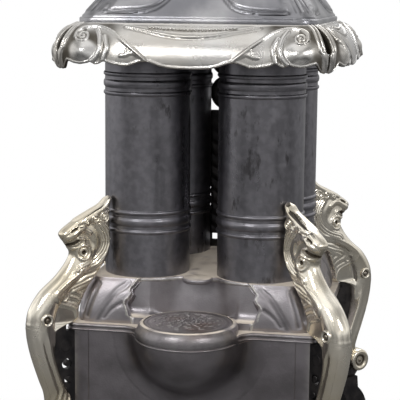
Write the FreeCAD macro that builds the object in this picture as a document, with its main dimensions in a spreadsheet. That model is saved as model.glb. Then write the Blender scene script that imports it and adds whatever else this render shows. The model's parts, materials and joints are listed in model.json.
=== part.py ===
import FreeCAD
import Part
import Sketcher
import math
import os
import re

# Gas parlor stove: four heating tubes between a square iron base and a domed top.
# Millimetres, +Z up, origin on the floor under the middle of the four tubes, front towards -Y.

doc = FreeCAD.newDocument("gas_parlor_stove")
dim = doc.addObject("Spreadsheet::Sheet", "dim")

driving_sizes = [
    # heights
    ("base_bottom", 114, "floor to the underside of the base plate"),
    ("base_plate_thick", 5, "base plate"),
    ("ledge_bottom", 255, "floor to the underside of the ledge"),
    ("ledge_thick", 11, "ledge round the base"),
    ("hearth_top", 330, "floor to the foot of the tubes"),
    ("hearth_thick", 6, "top plate of the hearth casting"),
    ("tube_length", 360, "tube, end to end"),
    ("crown_thick", 8, "crown plate over the tubes"),
    # base
    ("base_half", 179, "half width of the base over its panels"),
    ("ledge_overhang", 5, "ledge beyond the panels"),
    ("ledge_corner", 12, "corner radius of the ledge"),
    ("shoulder_inset", 10, "edge of the ledge to the foot of the shoulder"),
    ("hearth_inset", 27, "edge of the ledge to the edge of the hearth top"),
    ("shoulder_corner", 26, "corner radius of the shoulder"),
    ("casting_wall", 6, "wall of the hearth casting"),
    ("panel_thick", 5, "side panels"),
    ("field_border", 20, "border round the sunk field of a side panel"),
    ("field_depth", 2, "depth of that field"),
    ("base_bolt_inset", 49, "base bolts inside the outer face of the panels"),
    ("base_boss", 9, "radius of the boss for a base bolt"),
    ("post_width", 36, "face of a corner post"),
    ("post_thick", 6, "wall of a corner post"),
    ("post_chamfer", 16, "flat on the corner of a post, where the leg seats"),
    # pod and lid
    ("pod_radius", 74, "round pod in front of the base"),
    ("pod_forward", 13.4, "edge of the ledge to the middle of the pod"),
    ("pod_lip", 2, "lip below the rolled rim of the pod"),
    ("pod_top", 280, "floor to the top of the pod"),
    ("pod_roll", 7.5, "rolled rim of the pod"),
    ("niche_half", 88, "half width of the niche behind the pod"),
    ("niche_floor", 276, "floor to the floor of the niche"),
    ("pod_fillet", 25, "hollow between the pod and the straight edge of the ledge"),
    ("seat_gap", 0.3, "clearance between castings round the pod"),
    ("niche_depth", 44.3, "line of the front tubes to the back of the niche"),
    ("pedestal_radius", 68, "niche wall round the foot of a front tube"),
    ("tongue_radius", 22, "round tongue of the top plate over the niche"),
    ("belly_radius", 71.5, "bowl of the front panel under the pod"),
    ("belly_wall", 5, "wall of that bowl"),
    ("belly_fillet", 22, "hollow between that bowl and the panel"),
    ("lid_radius", 63.5, "pot lid"),
    ("lid_thick", 5, "pot lid at its rim"),
    ("lid_seat", 7, "width of the seat under the lid"),
    ("lid_gap", 0.6, "clearance round the lid"),
    ("lid_crown", 1.5, "raised middle of the lid"),
    ("lid_bevel", 1, "bevel on the edge of the lid"),
    ("lid_band", 4, "flat band round the lid"),
    ("lid_groove", 3, "groove inside that band"),
    ("lid_spigot", 3.5, "spigot under the lid"),
    # tubes
    ("tube_radius", 63.5, "five inch stovepipe"),
    ("tube_wall", 1.2, "sheet iron"),
    ("tube_inset", 93.3, "tube axis inside the outer face of the panels"),
    ("bead_low", 67, "foot of a tube to its first bead"),
    ("bead_high", 63, "top of a tube to its first bead"),
    ("bead_pitch", 14, "bead to bead"),
    ("bead_height", 2.2, "bead above the tube"),
    ("bead_narrow", 6, "width of the outer beads"),
    ("bead_broad", 11, "width of the middle bead"),
    ("collar_height", 10, "collar inside the end of a tube"),
    ("collar_wall", 5, "wall of that collar"),
    ("collar_gap", 0.3, "clearance between collar and tube"),
    ("flue_radius", 40, "flue hole under a tube"),
    ("bridge_width", 16, "bar across a flue hole for the tie rod"),
    ("rod_radius", 3.5, "tie rod"),
    ("rod_gap", 0.3, "clearance round rods and bolts"),
    ("rod_end", 12, "rod beyond the castings at each end"),
    ("nut_radius", 7.5, "hexagon nut over its corners"),
    ("nut_thick", 6, "hexagon nut"),
    # fret between the rear tubes
    ("fret_gap", 2.4, "clearance between the fret and the beads of the tubes"),
    ("fret_thick", 4, "fret"),
    ("fret_set", 30.3, "line of the rear tubes to the fret"),
    ("fret_pitch", 55, "ring to ring"),
    ("fret_panel", 222, "height of the closed part of the fret"),
    ("fret_tab", 16, "foot of the fret along the hearth"),
    ("fret_slot_rise", 14, "foot of the fret to its slot"),
    ("fret_slot", 6, "height of that slot"),
    # crown, skirts, dome
    ("crown_inset", 8, "crown plate inside the dome rim"),
    ("skirt_beyond", 22.8, "dome rim beyond the outside of the tubes"),
    ("skirt_flare", 39, "how far the skirts stand out"),
    ("skirt_drop", 62, "height of the skirts"),
    ("skirt_round", 62, "radius of the skirt section"),
    ("skirt_wall", 4, "wall of a skirt"),
    ("skirt_flange", 30, "flange of a skirt on the crown plate"),
    ("skirt_gap", 2, "gap between skirts at the corners"),
    ("skirt_corner", 75, "corner radius of the skirts at their lower edge"),
    ("skirt_tongue", 38, "side of the skirts to the tongues at their corners"),
    ("swag_half", 58, "half width of the middle swag"),
    ("swag_rise", 13, "rise of the lower edge beside the swag"),
    ("swag_sag", 12.5, "drop of the middle swag"),
    ("lobe_round", 90, "radius of the lobes beside it"),
    ("skirt_screw_half", 82, "middle of a skirt to its screws"),
    ("dome_corner", 26, "corner radius of the dome rim"),
    ("dome_rim", 7, "height of the dome rim"),
    ("dome_step", 6, "step above the rim, inwards and upwards"),
    ("dome_height", 92, "dome above the skirts"),
    ("dome_wall", 6, "wall of the dome"),
    ("vent_radius", 44, "opening in the top of the dome"),
    ("vent_gap", 10, "gap under the vent cap"),
    ("cap_radius", 60, "vent cap"),
    ("cap_thick", 5, "vent cap at its rim"),
    ("cap_lip", 3, "drop of the vent cap's rim"),
    ("cap_rise", 6, "rise of the vent cap to the finial"),
    ("cap_foot", 5, "radius of the feet of the vent cap"),
    ("finial_height", 96, "urn finial"),
    ("finial_radius", 31, "urn at its widest"),
    ("stud_radius", 4, "finial stud"),
    # legs and griffins
    ("leg_web", 8, "web of a leg"),
    ("leg_foot", 28, "width of a foot"),
    ("leg_gap", 0.4, "clearance between a leg and its griffin"),
    ("leg_reach", 80, "toe of a leg beyond the corner of the ledge"),
    ("foot_length", 36, "sole of a foot"),
    ("toe_height", 6, "toe of a foot"),
    ("leg_window", 9, "radius of the upper opening in a leg's web"),
    ("lug_length", 36, "lug of a leg under the base plate"),
    ("lug_width", 36, "lug across"),
    ("lug_thick", 9, "lug"),
    ("bolt_radius", 4, "leg bolt"),
    ("griffin_screw", 3, "screws through the griffins"),
    ("griffin_head", 7, "round head of those screws"),
    ("griffin_half", 18.5, "half thickness of a griffin at its bulge"),
    ("griffin_depth", 22, "half depth of a griffin at its bulge"),
    ("griffin_reach", 66, "bulge of a griffin beyond the corner of the ledge"),
    ("griffin_rise", 181, "ledge to the ear tip of a griffin"),
    ("griffin_boss", 9, "boss under the upper screw"),
    ("boss_height", 1, "boss beyond the bulge"),
    ("scroll_radius", 19, "scroll at the foot of a griffin"),
    ("scroll_rise", 10, "base plate to the middle of that scroll"),
    ("small_screw", 2.5, "screws of the skirts and the fret"),
    ("small_head", 5, "round head of those screws"),
    # gas line
    ("pipe_radius", 10.65, "half inch gas pipe"),
    ("pipe_bore", 7.9, "its bore"),
    ("line_height", 205, "floor to the gas line"),
    ("burner_radius", 31, "burner head"),
    ("burner_height", 26, "burner head"),
    ("burner_riser", 48, "gas line to the underside of a burner head"),
    ("mixer_radius", 21, "mixer face"),
    ("mixer_length", 32, "mixer"),
    ("mixer_socket", 14, "socket of the mixer over the pipe"),
    ("mixer_rim", 4, "rim of the mixer"),
    ("mixer_hole", 4.5, "air holes of mixer and shutter"),
    ("mixer_ring", 12, "line axis to those holes"),
    ("tab_width", 8, "thumb tab of the shutter"),
    ("tab_length", 9, "thumb tab beyond the shutter"),
    ("shutter_thick", 2, "air shutter"),
    ("spud_radius", 5, "gas spud"),
    ("cock_radius", 12, "gas cock body"),
    ("cock_length", 24, "gas cock body along the line"),
    ("cock_boss", 2, "housing of the plug beyond the cock body"),
    ("plug_radius", 7, "plug of the gas cock"),
    ("key_neck", 12, "neck of the key"),
    ("key_length", 34, "handle of the key"),
    ("key_height", 10, "height of that handle"),
    ("key_thick", 6, "thickness of that handle"),
    ("saddle_near", 16, "middle of the manifold to the near face of a saddle"),
    ("saddle_width", 24, "saddle along the pipe"),
    ("saddle_length", 28, "saddle across the pipe"),
    ("run_gap", 0.05, "running clearance"),
    ("face_gap", 0.3, "gap between faces that turn or lift apart"),
]

for row, (alias, value, note) in enumerate(driving_sizes, start=1):
    dim.set(f"A{row}", note)
    dim.set(f"B{row}", str(value))
    dim.setAlias(f"B{row}", alias)
doc.recompute()

alias_pattern = re.compile(r"\b(" + "|".join(alias for alias, _, _ in driving_sizes) + r")\b")


# Expressions

def formula(text):
    return alias_pattern.sub(r"dim.\1", str(text))


def number(text):
    return float(dim.evalExpression(formula(text)))


def bind(item, **sizes):
    for name, text in sizes.items():
        item.setExpression(name, formula(text))
    return item


def place(item, x="0", y="0", z="0"):
    for axis, text in (("x", x), ("y", y), ("z", z)):
        item.setExpression(f"Placement.Base.{axis}", formula(text))
    return item


def turn(item, axis, degrees):
    rotation = FreeCAD.Rotation(FreeCAD.Vector(*axis), degrees)
    item.Placement = FreeCAD.Placement(item.Placement.Base, rotation)
    return item


# Solids from primitives and booleans

def cylinder(name, radius, height, x="0", y="0", z="0", along="z"):
    item = doc.addObject("Part::Cylinder", name)
    bind(item, Radius=radius, Height=height)
    if along == "x":
        turn(item, (0, 1, 0), 90)
    if along == "y":
        turn(item, (1, 0, 0), -90)
    return place(item, x, y, z)


def cone(name, low_radius, high_radius, height, x="0", y="0", z="0", along="z"):
    item = doc.addObject("Part::Cone", name)
    bind(item, Radius1=low_radius, Radius2=high_radius, Height=height)
    if along == "y":
        turn(item, (1, 0, 0), -90)
    return place(item, x, y, z)


def box(name, x_span, y_span, z_span):
    item = doc.addObject("Part::Box", name)
    bind(
        item,
        Length=f"({x_span[1]}) - ({x_span[0]})",
        Width=f"({y_span[1]}) - ({y_span[0]})",
        Height=f"({z_span[1]}) - ({z_span[0]})",
    )
    return place(item, x_span[0], y_span[0], z_span[0])


def prism(name, circumradius, height, x="0", y="0", z="0"):
    item = doc.addObject("Part::Prism", name)
    item.Polygon = 6
    bind(item, Circumradius=circumradius, Height=height)
    return place(item, x, y, z)


def fuse(name, *shapes):
    item = doc.addObject("Part::MultiFuse", name)
    item.Shapes = list(shapes)
    return item


def cut(name, base, *tools):
    item = doc.addObject("Part::Cut", name)
    item.Base = base
    item.Tool = tools[0] if len(tools) == 1 else fuse(name + "_tools", *tools)
    return item


def common(name, *shapes):
    item = doc.addObject("Part::MultiCommon", name)
    item.Shapes = list(shapes)
    return item


def group(name, shapes):
    item = doc.addObject("Part::Compound", name)
    item.Links = list(shapes)
    return item


# Sketches

def new_body(name):
    return doc.addObject("PartDesign::Body", name)


def sketch_on(body, role, name, offset="0"):
    sketch = body.newObject("Sketcher::SketchObject", name)
    plane = next(feature for feature in body.Origin.OriginFeatures if feature.Role == role)
    sketch.AttachmentSupport = (plane, "")
    sketch.MapMode = "FlatFace"
    sketch.setExpression("AttachmentOffset.Base.z", formula(offset))
    return sketch


def arc_between(start, end, radius):
    # The shorter arc from start to end, to the left of the chord for a positive radius.
    chord = end - start
    middle = (start + end) * 0.5
    reach = math.sqrt(max(radius * radius - chord.Length * chord.Length / 4, 0))
    side = FreeCAD.Vector(-chord.y, chord.x, 0).normalize() * math.copysign(reach, radius)
    centre = middle + side
    circle = Part.Circle(centre, FreeCAD.Vector(0, 0, 1), abs(radius))
    first, last = (start, end) if radius > 0 else (end, start)
    low = math.atan2(first.y - centre.y, first.x - centre.x)
    high = math.atan2(last.y - centre.y, last.x - centre.x)
    return Part.ArcOfCircle(circle, low, high)


def outline(sketch, points):
    # Closed outline: each point is (x, y) or (x, y, radius of the arc to the next point).
    places = [FreeCAD.Vector(number(point[0]), number(point[1]), 0) for point in points]
    count = len(points)
    starts = []
    ends = []
    for index, point in enumerate(points):
        start = places[index]
        end = places[(index + 1) % count]
        backwards = False
        if len(point) == 3:
            radius = number(point[2])
            sketch.addGeometry(arc_between(start, end, radius), False)
            backwards = radius < 0
        else:
            sketch.addGeometry(Part.LineSegment(start, end), False)
        starts.append((index, 2 if backwards else 1))
        ends.append((index, 1 if backwards else 2))
    for index, point in enumerate(points):
        following = (index + 1) % count
        sketch.addConstraint(Sketcher.Constraint("Coincident", *ends[index], *starts[following]))
    for index, point in enumerate(points):
        for kind, text, value in zip(("DistanceX", "DistanceY"), point, places[index]):
            key = sketch.addConstraint(Sketcher.Constraint(kind, *starts[index], value))
            sketch.setExpression(f"Constraints[{key}]", formula(text))
        if len(point) == 3:
            key = sketch.addConstraint(Sketcher.Constraint("Radius", index, abs(number(point[2]))))
            sketch.setExpression(f"Constraints[{key}]", formula(f"abs({point[2]})"))
    return sketch


def rounded_square(sketch, half, corner):
    inner = f"({half}) - ({corner})"
    turns = (("1", "1"), ("-1", "1"), ("-1", "-1"), ("1", "-1"))
    points = []
    for index, (x, y) in enumerate(turns):
        along_x = (f"{x} * ({half})", f"{y} * ({inner})")
        along_y = (f"{x} * ({inner})", f"{y} * ({half})")
        first, last = (along_x, along_y) if index % 2 == 0 else (along_y, along_x)
        points.append((*first, corner))
        points.append(last)
    return outline(sketch, points)


def pad(name, role, points, length, middle=True, offset="0"):
    body = new_body(name)
    feature = body.newObject("PartDesign::Pad", name + "_pad")
    feature.Profile = outline(sketch_on(body, role, name + "_outline", offset), points)
    feature.Midplane = middle
    bind(feature, Length=length)
    return body


def revolve(name, points):
    # Profile of (radius, height) turned about the vertical axis of its own body.
    body = new_body(name)
    sketch = outline(sketch_on(body, "XZ_Plane", name + "_profile"), points)
    feature = body.newObject("PartDesign::Revolution", name + "_turned")
    feature.Profile = sketch
    feature.ReferenceAxis = (sketch, ["V_Axis"])
    feature.Angle = 360
    return body


def square_loft(name, sections):
    # Smooth loft through level rounded squares, given as (height, half width, corner radius).
    body = new_body(name)
    sketches = []
    for index, (height, half, corner) in enumerate(sections):
        sketch = sketch_on(body, "XY_Plane", f"{name}_section_{index}", height)
        sketches.append(rounded_square(sketch, half, corner))
    feature = body.newObject("PartDesign::AdditiveLoft", name + "_loft")
    feature.Profile = sketches[0]
    feature.Sections = sketches[1:]
    return body


def ellipse_loft(name, stations):
    # Smooth loft through ellipses in a leg's own plane: (out, up, tilt, half depth, half thickness).
    sections = []
    for index, (out, up, tilt, depth, thickness) in enumerate(stations):
        item = doc.addObject("Part::Ellipse", f"{name}_station_{index}")
        bind(item, MajorRadius=depth, MinorRadius=thickness)
        item.Placement.Rotation = FreeCAD.Rotation(FreeCAD.Vector(0, 1, 0), -tilt)
        place(item, out, "0", up)
        sections.append(item)
    loft = doc.addObject("Part::Loft", name)
    loft.Sections = sections
    loft.Solid = True
    return loft


# Shared places

tube_half = "(base_half - tube_inset)"
ledge_half = "(base_half + ledge_overhang)"
ledge_top = "(ledge_bottom + ledge_thick)"
shoulder_foot_half = f"({ledge_half} - shoulder_inset)"
hearth_half = f"({ledge_half} - hearth_inset)"
niche_back = f"({tube_half} + niche_depth)"
skirt_top_half = f"({tube_half} + tube_radius + skirt_beyond)"
crown_half = f"({skirt_top_half} - crown_inset)"
panel_bottom = "(base_bottom + base_plate_thick)"
tube_bore = "(tube_radius - tube_wall)"
collar_radius = f"({tube_bore} - collar_gap)"
crown_bottom = "(hearth_top + tube_length)"
crown_top = f"({crown_bottom} + crown_thick)"
dome_bottom = f"({crown_top} + skirt_wall)"
dome_top = f"({dome_bottom} + dome_height)"
pod_centre = f"(-{ledge_half} - pod_forward)"
pod_front = f"({ledge_half} + pod_forward + pod_radius)"
rod_hole = "(rod_radius + rod_gap)"
past = "1"  # how far a cutting tool runs past a face
nodes = {}

tube_places = {
    "front_left": ("-1", "-1"),
    "front_right": ("1", "-1"),
    "rear_left": ("-1", "1"),
    "rear_right": ("1", "1"),
}
leg_turns = {"front_left": 225, "front_right": 315, "rear_left": 135, "rear_right": 45}
side_turns = {"front": 0, "right": 90, "back": 180, "left": 270}


def node(name, shape):
    shape.Label = name
    nodes[name] = shape
    return shape


def drill(name, radius, thickness, x, y, low):
    # A hole right through a plate whose underside is at low.
    return cylinder(name, radius, f"{thickness} + 2 * {past}", x, y, f"{low} - {past}")


def at_tubes(make, name):
    return [
        make(f"{name}_{corner}", f"{x} * {tube_half}", f"{y} * {tube_half}")
        for corner, (x, y) in tube_places.items()
    ]


# Tubes with three rolled beads near each end

def tube_profile():
    beads = []
    for first, step in (("bead_low", 1), ("tube_length - bead_high", -1)):
        for index, width in enumerate(("bead_narrow", "bead_broad", "bead_narrow")):
            beads.append((f"{first} + {step * index} * bead_pitch", width))
    beads = beads[:3] + beads[:2:-1]
    points = [(tube_bore, "0"), ("tube_radius", "0")]
    for middle, width in beads:
        points.append(("tube_radius", f"{middle} - {width} / 2"))
        points.append(("tube_radius + bead_height", f"{middle} - {width} / 4"))
        points.append(("tube_radius + bead_height", f"{middle} + {width} / 4"))
        points.append(("tube_radius", f"{middle} + {width} / 2"))
    points += [("tube_radius", "tube_length"), (tube_bore, "tube_length")]
    return points


for corner, (x, y) in tube_places.items():
    tube = revolve(f"tube_{corner}", tube_profile())
    place(tube, f"{x} * {tube_half}", f"{y} * {tube_half}", "hearth_top")
    node(f"tube_{corner}", tube)


# Flue holes, each crossed by a bar for the tie rod, and collars that locate the tubes

def flue_hole(name, x, y, low, thickness):
    hole = drill(name + "_round", "flue_radius", thickness, x, y, low)
    bar = box(
        name + "_bar",
        (f"{x} - flue_radius", f"{x} + flue_radius"),
        (f"{y} - bridge_width / 2", f"{y} + bridge_width / 2"),
        (f"{low} - {past}", f"{low} + {thickness} + {past}"),
    )
    rod = drill(name + "_rod", rod_hole, thickness, x, y, low)
    return fuse(name, cut(name + "_halves", hole, bar), rod)


def collar(name, x, y, low, high):
    outer = cylinder(name + "_outer", collar_radius, f"{high} - {low}", x, y, low)
    inner = cylinder(name + "_inner", f"{collar_radius} - collar_wall", f"{high} - {low}", x, y, low)
    return cut(name, outer, inner)


# Ledge casting with the round pod, and the hearth casting on it: shoulder, top plate and niche

niche_square = f"({tube_half}^2 + niche_depth^2 - pedestal_radius^2)"
niche_round = f"({niche_square} / (2 * (pedestal_radius - niche_depth)))"


def niche_web(name, wall, low, high):
    # Hollow stretch of the niche wall, which runs smoothly into the round stretches under the tubes.
    centre = f"({niche_back} + {niche_round})"
    share = f"(({niche_round} + {wall}) / ({niche_round} + pedestal_radius))"
    side = f"({tube_half} * {share})"
    front = f"(-{centre} + (niche_depth + {niche_round}) * {share})"
    return pad(
        name, "XY_Plane",
        [
            (f"-{side}", front, f"-({niche_round} + {wall})"),
            (side, front),
            (side, f"-{tube_half}"),
            (f"-{side}", f"-{tube_half}"),
        ],
        f"({high}) - ({low})", middle=False, offset=low,
    )


def niche(name, wall, low, high):
    # Space over the pod, between the shoulders and in front of the wavy niche wall.
    space = box(
        name + "_space",
        (f"-niche_half - {wall}", f"niche_half + {wall}"),
        (f"-{pod_front} - {past}", f"-{tube_half}"),
        (low, high),
    )
    keep = [niche_web(name + "_web", wall, low, high)]
    for side in ("-1", "1"):
        keep.append(
            cylinder(
                f"{name}_pedestal{side}", f"pedestal_radius - {wall}", f"{high} - ({low})",
                f"{side} * {tube_half}", f"-{tube_half}", low,
            )
        )
    return cut(name, space, *keep)


def shoulder_sections(inset, high):
    rise = "(hearth_top - ledge_bottom - ledge_thick)"
    flare = "(hearth_inset - shoulder_inset)"
    shape = (("0", "1"), ("0.32", "0.88"), ("0.66", "0.55"), ("0.9", "0.16"), ("1", "0"))
    sections = []
    for up, out in shape:
        height = f"{ledge_top} + {up} * ({rise} - ({high}))"
        half = f"{hearth_half} + {out} * {flare} - {inset}"
        sections.append((height, half, f"shoulder_corner - {inset}"))
    return sections


def pod_profile(inset, top, roll, low="ledge_bottom"):
    edge = f"pod_radius - pod_lip - {inset}"
    return [
        ("0", low),
        (edge, low),
        (edge, f"{top} - {roll}", roll),
        (f"{edge} - {roll}", top),
        ("0", top),
    ]


def ledge_slab():
    # The front edge runs through a hollow on each side into the round lip of the pod.
    reach = ledge_half
    hollow_x = "sqrt((pod_radius + pod_fillet)^2 - (pod_fillet - pod_forward)^2)"
    share = "pod_radius / (pod_radius + pod_fillet)"
    lip_x = f"{hollow_x} * {share}"
    lip_y = f"{pod_centre} - (pod_fillet - pod_forward) * {share}"
    ledge = pad(
        "ledge_blank", "XY_Plane",
        [
            (f"-{reach}", f"-{reach} + ledge_corner", "ledge_corner"),
            (f"-{reach} + ledge_corner", f"-{reach}"),
            (f"-{hollow_x}", f"-{reach}", "-pod_fillet"),
            (f"-{lip_x}", lip_y, "pod_radius"),
            (lip_x, lip_y, "-pod_fillet"),
            (hollow_x, f"-{reach}"),
            (f"{reach} - ledge_corner", f"-{reach}", "ledge_corner"),
            (reach, f"-{reach} + ledge_corner"),
            (reach, f"{reach} - ledge_corner", "ledge_corner"),
            (f"{reach} - ledge_corner", reach),
            (f"-{reach} + ledge_corner", reach, "ledge_corner"),
            (f"-{reach}", f"{reach} - ledge_corner"),
        ],
        "ledge_thick", middle=False, offset="ledge_bottom",
    )
    return ledge


pod = place(revolve("pod", pod_profile("0", "pod_top", "pod_roll")), "0", pod_centre, "0")
pod_inside = pod_profile(
    "casting_wall", "(pod_top - lid_thick - casting_wall / 2)", "(pod_roll - casting_wall / 2)",
    f"ledge_bottom - {past}",
)
pod_hollow = place(revolve("pod_hollow", pod_inside), "0", pod_centre, "0")
pod_room = cylinder(
    "pod_room", "pod_radius - pod_lip + seat_gap", f"pod_top - {ledge_top} + 2 * {past}",
    "0", pod_centre, f"{ledge_top} - {past}",
)
shoulder = square_loft("shoulder", shoulder_sections("0", "0"))
chamber = square_loft("chamber", shoulder_sections("casting_wall", "hearth_thick"))
chamber_foot = box(
    "chamber_foot",
    (f"-{shoulder_foot_half} + casting_wall", f"{shoulder_foot_half} - casting_wall"),
    (f"-{shoulder_foot_half} + casting_wall", f"{shoulder_foot_half} - casting_wall"),
    (f"ledge_bottom - {past}", f"{ledge_top} + {past}"),
)
niche_cut = niche("niche", "0", "niche_floor", "hearth_top")
niche_wall = niche("niche_wall", "casting_wall", "niche_floor - casting_wall", "hearth_top")
tongue = cylinder(
    "tongue", "tongue_radius", "hearth_thick", "0", f"-{niche_back}", "hearth_top - hearth_thick"
)
chamber_space = cut("chamber_behind_niche", chamber, niche_wall)
lid_hole = cylinder(
    "lid_hole", "lid_radius - lid_seat", f"pod_top - ledge_bottom + {past}", "0", pod_centre, "ledge_bottom"
)
lid_recess = cylinder(
    "lid_recess", "lid_radius + lid_gap", f"lid_thick + {past}", "0", pod_centre, "pod_top - lid_thick"
)
plate_low = "(hearth_top - hearth_thick)"
plate_middle = "(hearth_top - hearth_thick / 2)"
hearth_flues = at_tubes(
    lambda name, x, y: flue_hole(name, x, y, plate_low, "hearth_thick"), "hearth_flue"
)
hearth_collars = at_tubes(
    lambda name, x, y: collar(name, x, y, plate_middle, "(hearth_top + collar_height)"), "hearth_collar"
)
base_bolt_line = "(base_half - base_bolt_inset)"
base_bolt_top = f"({ledge_top} + casting_wall)"
base_bolt_spots = {
    corner: (f"{x} * {base_bolt_line}", f"{y} * {base_bolt_line}") for corner, (x, y) in tube_places.items()
}
bosses = [
    cylinder(f"base_boss_{corner}", "base_boss", f"{plate_middle} - ledge_bottom", *spot, "ledge_bottom")
    for corner, spot in base_bolt_spots.items()
]
bore_depth = f"{base_bolt_top} - ledge_bottom"
boss_bores = [
    drill(f"boss_bore_{corner}", "rod_radius + run_gap", bore_depth, *spot, "ledge_bottom")
    for corner, spot in base_bolt_spots.items()
]
fret_back = f"({tube_half} + fret_set)"
fret_half = f"({tube_half} - sqrt((tube_radius + bead_height)^2 - fret_set^2) - fret_gap)"
fret_line = f"({fret_back} + fret_tab / 2)"
fret_tap = drill("fret_tap_low", "small_screw + run_gap", "hearth_thick", "0", fret_line, plate_low)
ledge_ring = cut("ledge_ring", ledge_slab(), chamber_foot)
ledge_built = fuse("ledge_built", ledge_ring, pod)
node("ledge", cut("ledge_casting", ledge_built, pod_hollow, lid_hole, lid_recess))
hearth_shell = cut("hearth_shell", shoulder, niche_cut, chamber_space, pod_room)
hearth_built = fuse("hearth_built", hearth_shell, tongue, *hearth_collars, *bosses)
node("hearth", cut("hearth_casting", hearth_built, *hearth_flues, *boss_bores, fret_tap))


# Pot lid in its seat

lid = revolve(
    "pot_lid_turned",
    [
        ("0", "-lid_spigot"),
        ("lid_radius - lid_seat - lid_gap", "-lid_spigot"),
        ("lid_radius - lid_seat - lid_gap", "0"),
        ("lid_radius", "0"),
        ("lid_radius", "lid_thick - lid_bevel"),
        ("lid_radius - lid_bevel", "lid_thick"),
        ("lid_radius - lid_bevel - lid_band", "lid_thick"),
        ("lid_radius - 2 * lid_bevel - lid_band", "lid_thick - lid_bevel"),
        ("lid_radius - 2 * lid_bevel - lid_band - lid_groove", "lid_thick - lid_bevel"),
        ("lid_radius - 2 * lid_bevel - lid_band - 2 * lid_groove", "lid_thick"),
        ("lid_radius / 2", "lid_thick + lid_crown"),
        ("0", "lid_thick + lid_crown"),
    ],
)
node("pot_lid", place(lid, "0", pod_centre, "pod_top - lid_thick"))


# Base plate and corner posts

corner_cut = "(base_half - post_chamfer)"
base_plate = pad(
    "base_plate_blank", "XY_Plane",
    [
        ("-base_half", f"-{corner_cut}"), (f"-{corner_cut}", "-base_half"),
        (corner_cut, "-base_half"), ("base_half", f"-{corner_cut}"),
        ("base_half", corner_cut), (corner_cut, "base_half"),
        (f"-{corner_cut}", "base_half"), ("-base_half", corner_cut),
    ],
    "base_plate_thick", middle=False, offset="base_bottom",
)
seat_reach = "(2 * base_half - post_chamfer) / sqrt(2)"
bolt_reach = f"({seat_reach} - lug_length / 2) / sqrt(2)"


def plate_hole(name, radius, x, y):
    return drill(name, radius, "base_plate_thick", x, y, "base_bottom")


leg_bolt_spots = {
    corner: (f"{x} * {bolt_reach}", f"{y} * {bolt_reach}") for corner, (x, y) in tube_places.items()
}
air_holes = at_tubes(lambda name, x, y: plate_hole(name, "burner_radius", x, y), "air_hole")
bolt_holes = []
for corner in tube_places:
    leg_spot, base_spot = leg_bolt_spots[corner], base_bolt_spots[corner]
    bolt_holes.append(plate_hole(f"leg_bolt_hole_{corner}", "bolt_radius + rod_gap", *leg_spot))
    bolt_holes.append(plate_hole(f"base_bolt_hole_{corner}", rod_hole, *base_spot))
node("base_plate", cut("base_plate_drilled", base_plate, *air_holes, *bolt_holes))

# Long bolts that clamp the posts and panels between the base plate and the hearth casting

base_bolts = []
for corner, spot in base_bolt_spots.items():
    length = f"{base_bolt_top} - base_bottom"
    shank = cylinder(f"base_bolt_shank_{corner}", "rod_radius", length, *spot, "base_bottom")
    head = prism(f"base_bolt_head_{corner}", "nut_radius", "nut_thick", *spot, "base_bottom - nut_thick")
    base_bolts.append(fuse(f"base_bolt_{corner}", shank, head))
node("base_bolts", group("base_bolt_group", base_bolts))


def post(corner, degrees):
    inner_corner = "-post_chamfer - post_thick * (sqrt(2) - 1)"
    body = pad(
        f"corner_post_{corner}_angle", "XY_Plane",
        [
            ("-post_width", "0"), ("-post_width", "-post_thick"), (inner_corner, "-post_thick"),
            ("-post_thick", inner_corner), ("-post_thick", "-post_width"), ("0", "-post_width"),
            ("0", "-post_chamfer"), ("-post_chamfer", "0"),
        ],
        f"ledge_bottom - {panel_bottom}", middle=False, offset=panel_bottom,
    )
    x, y = tube_places[corner]
    turn(body, (0, 0, 1), degrees)
    return place(body, f"{x} * base_half", f"{y} * base_half", "0")


for corner, degrees in (("front_left", 180), ("front_right", 270), ("rear_left", 90), ("rear_right", 0)):
    node(f"corner_post_{corner}", post(corner, degrees))


# Panels between the posts

panel_half = "(base_half - post_width)"


def panel(name):
    return box(
        name, (f"-{panel_half}", panel_half), ("-base_half", "-base_half + panel_thick"),
        (panel_bottom, "ledge_bottom"),
    )


def field(name):
    return box(
        name, (f"-{panel_half} + field_border", f"{panel_half} - field_border"),
        (f"-base_half - {past}", "-base_half + field_depth"),
        (f"{panel_bottom} + field_border", "ledge_bottom - field_border"),
    )


def side(name, shape):
    item = turn(group(name + "_side", [shape]), (0, 0, 1), side_turns[name.split("_")[0]])
    return node(name, item)


def lower_ball(name, radius):
    item = doc.addObject("Part::Sphere", name)
    item.Angle1, item.Angle2 = -90, 0
    return place(bind(item, Radius=radius), "0", pod_centre, "ledge_bottom")


def belly_edges(blank):
    # The round edge where the bowl meets the face of the panel: it lies in that face and isn't straight.
    doc.recompute()
    face = -number("base_half")
    found = []
    for index, edge in enumerate(blank.Shape.Edges, start=1):
        first, last = edge.Vertexes[0].Point, edge.Vertexes[-1].Point
        straight = edge.Length < first.distanceToPoint(last) + number(past)
        if not straight and abs(edge.BoundBox.YMin - face) + abs(edge.BoundBox.YMax - face) < number(past):
            found.append(index)
    return found


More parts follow.
